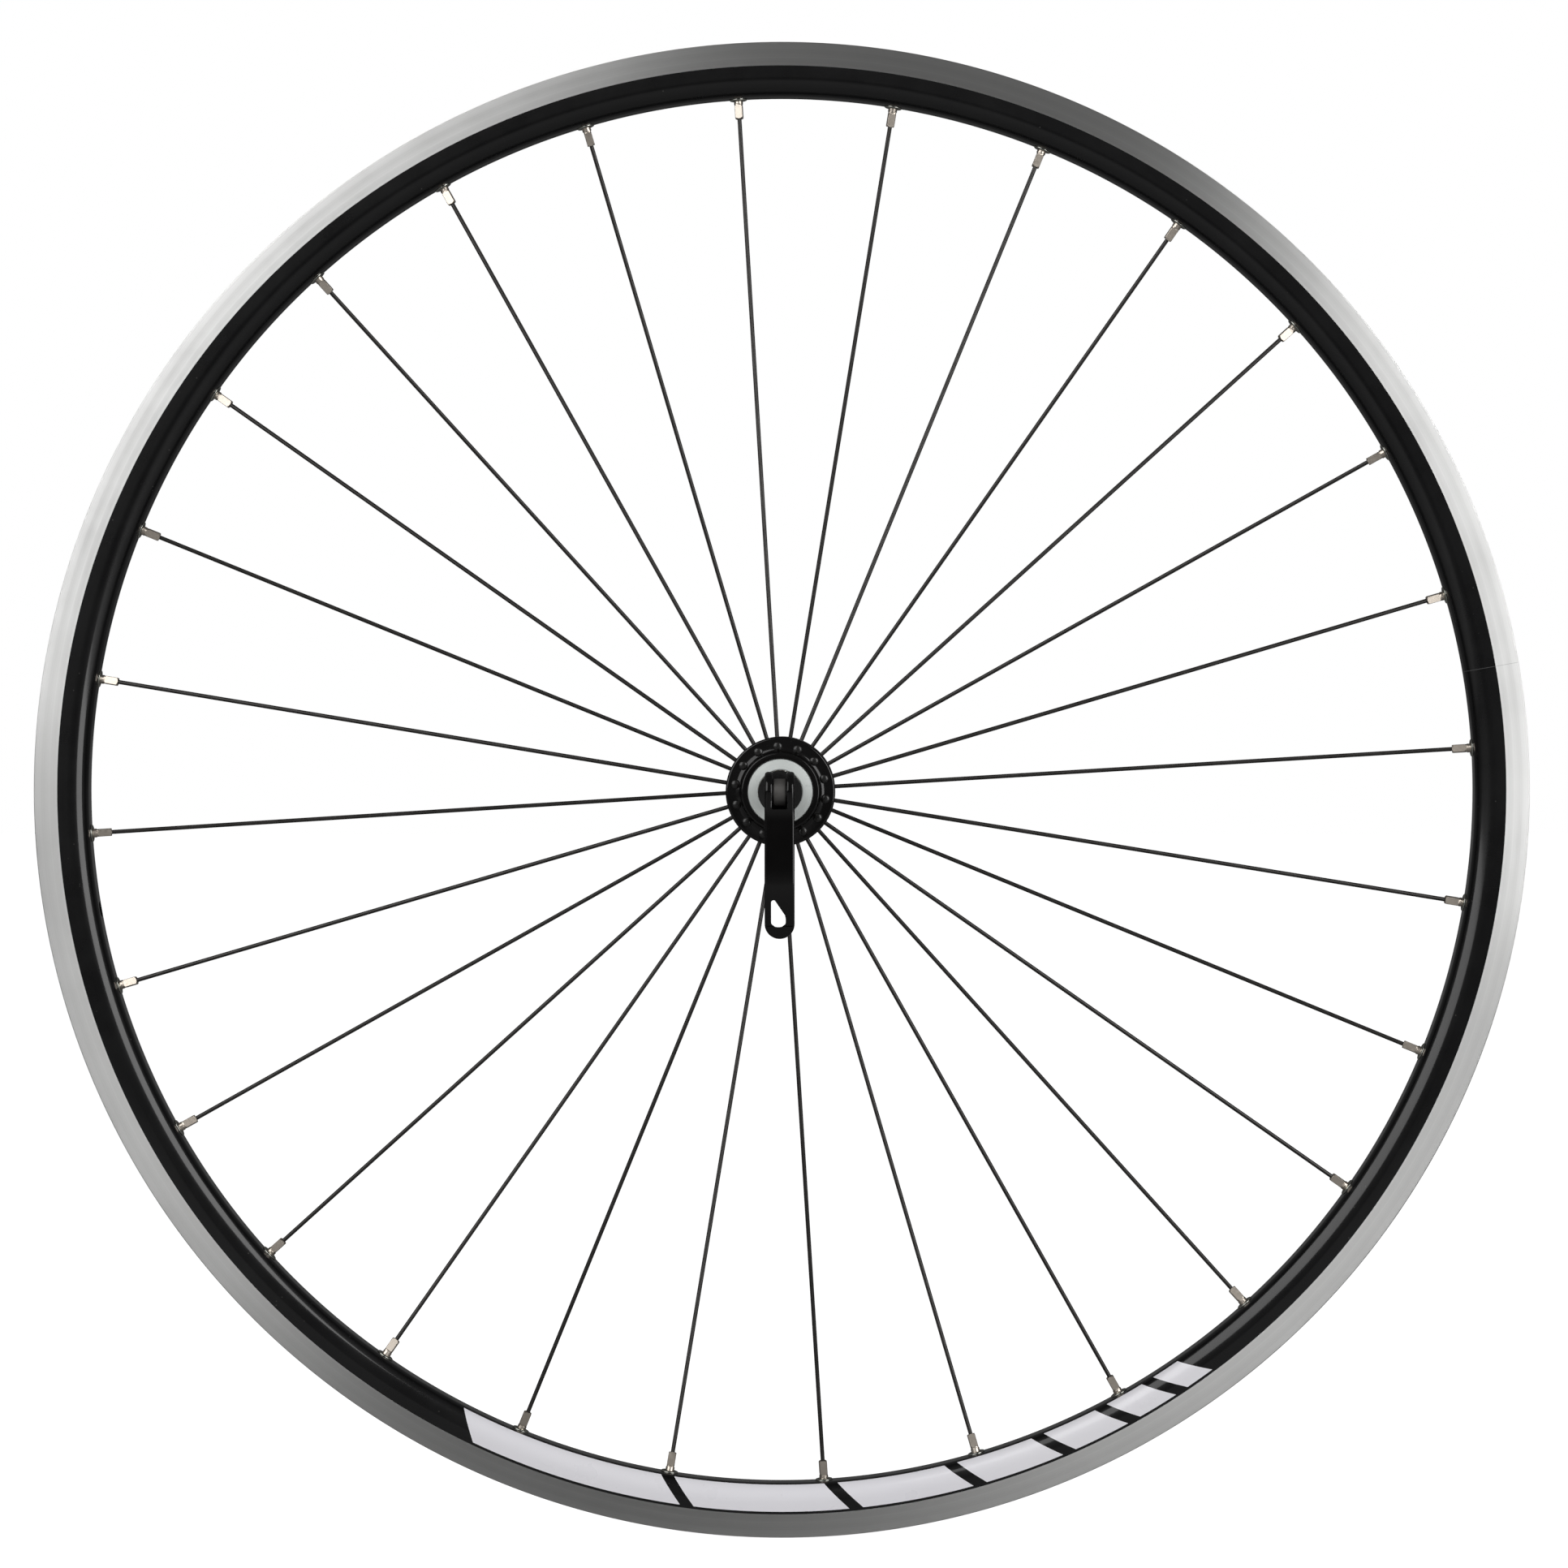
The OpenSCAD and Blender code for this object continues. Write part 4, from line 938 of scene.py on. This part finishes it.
# ---- Adjusting nut ------------------------------------------------------------------------
# A turned aluminium nut, gloss black, with eight finger scallops and a serrated gripping face.
# The nylon insert at its end keeps it from backing off.
nut_line = [(0.00256, clamp + 0.0023), (0.0074, clamp + 0.0023), (0.0074, clamp), (0.0076, clamp), (0.00925, clamp),
            (0.00925, clamp + 0.004), (0.0072, clamp + 0.0134), (0.0066, clamp + 0.014), (0.00426, clamp + 0.014),
            (0.00426, clamp + 0.011), (0.00256, clamp + 0.011)]
grip_nut = turn_piece("scalloped_nut", soften(nut_line, 0.0003), 144)
for v in grip_nut.data.vertices:
    r = math.hypot(v.co.x, v.co.z)
    k = round(math.atan2(v.co.z, v.co.x) / (2 * math.pi / 144)) % 4
    if r > 0.0077 and v.co.y < clamp + 0.0002:
        v.co.y += (0.0, 0.00022, 0.00045, 0.00022)[k]
scallops = []
for i in range(8):
    a = 2 * math.pi * i / 8
    o = drill("scallop", 0.0023, 0.016, Vector((0, 0, 0)), (0, 1, 0), 40)
    o.data.transform(Matrix.Rotation(-a, 4, "Y") @ Matrix.Translation((0.00965, clamp + 0.0126, 0))
                     @ Matrix.Rotation(math.radians(7), 4, "Z"))
    scallops.append(o)
grip_nut = cut(grip_nut, merge("scallops", scallops))
grip_nut.data.materials.clear()
grip_nut.data.materials.append(lever_black)
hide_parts("adjusting_nut")
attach(grip_nut, "nut")

nylon, tree, shader, place = material("nylon", Subsurface_Weight=0.15)
grain = noise_node(tree, place, 600.0, 3.0)
tree.links.new(mix_colour(tree, grain, (0.6, 0.6, 0.55), (0.72, 0.72, 0.68)), shader.inputs["Base Color"])
tree.links.new(span_node(tree, grain, 0.3, 0.7, 0.38, 0.5), shader.inputs["Roughness"])
insert = turn_piece("nylon_ring", soften([(0.00256, clamp + 0.0113), (0.0042, clamp + 0.0113), (0.0042, clamp + 0.0139),
                                          (0.00256, clamp + 0.0139)], 0.0002), 64)
insert.data.materials.append(nylon)
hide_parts("nut_insert")
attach(insert, "nut_thread")

# ---- Floor, lights and camera -------------------------------------------------------------
# A plain pale floor under the wheel, soft boxes to the left, to the right and low in front, and
# a long lens a little above and to the left of the axle.
ground = -0.3175
hands_off()
bpy.ops.mesh.primitive_plane_add(size=30, location=(0, 0, ground))
floor = bpy.context.object
floor.name = "floor"
pale, tree, shader, place = material("pale_floor", Roughness=0.9)
tone = noise_node(tree, place, 2.0, 3.0)
tree.links.new(mix_colour(tree, tone, (0.3, 0.3, 0.3), (0.34, 0.34, 0.34)), shader.inputs["Base Color"])
shader.inputs["Emission Color"].default_value = (1, 1, 1, 1)
seen = tree.nodes.new("ShaderNodeLightPath").outputs["Is Camera Ray"]
tree.links.new(seen, shader.inputs["Emission Strength"])
floor.data.materials.append(pale)

world = bpy.data.worlds.new("studio")
bpy.context.scene.world = world
world.use_nodes = True
wt = world.node_tree
back = wt.nodes["Background"]
seen = wt.nodes.new("ShaderNodeLightPath").outputs["Is Camera Ray"]
level = wt.nodes.new("ShaderNodeMapRange")
wt.links.new(seen, level.inputs["Value"])
level.inputs["To Min"].default_value, level.inputs["To Max"].default_value = 0.1, 1.0
back.inputs["Color"].default_value = (1, 1, 1, 1)
wt.links.new(level.outputs["Result"], back.inputs["Strength"])


light_distance = 2.5


def soft_box(name, around, off, wide, high, strength):
    """A soft box facing the hub: around is its angle about the axle, off its angle from the axle's line."""
    around, off = math.radians(around), math.radians(off)
    where = Vector((math.sin(off) * math.cos(around), -math.cos(off), math.sin(off) * math.sin(around)))
    where *= light_distance
    data = bpy.data.lights.new(name, "AREA")
    data.shape, data.size, data.size_y = "RECTANGLE", wide, high
    data.energy = strength * math.pi * wide * high
    o = bpy.data.objects.new(name, data)
    bpy.context.scene.collection.objects.link(o)
    o.location = where
    o.rotation_euler = (-where).to_track_quat("-Z", "Y").to_euler()


soft_box("left_box", 142, 46, 2.2, 2.2, 2.3)
soft_box("right_box", 14, 46, 1.5, 2.4, 3.6)
soft_box("low_box", 278, 50, 1.6, 0.8, 1.9)

shot = bpy.data.cameras.new("camera")
camera = bpy.data.objects.new("camera", shot)
bpy.context.scene.collection.objects.link(camera)
bpy.context.scene.camera = camera
far, left, up = 2.4, math.radians(-0.5), math.radians(0.7)
camera.location = (-far * math.sin(left) * math.cos(up), -far * math.cos(left) * math.cos(up), far * math.sin(up))
aim = Vector((0.0012, 0, 0.0028))
camera.rotation_euler = (aim - camera.location).to_track_quat("-Z", "Y").to_euler()
shot.sensor_width, shot.lens = 36, 129.5
shot.clip_start, shot.clip_end = 0.01, 100
bpy.context.scene.view_settings.view_transform = "Standard"
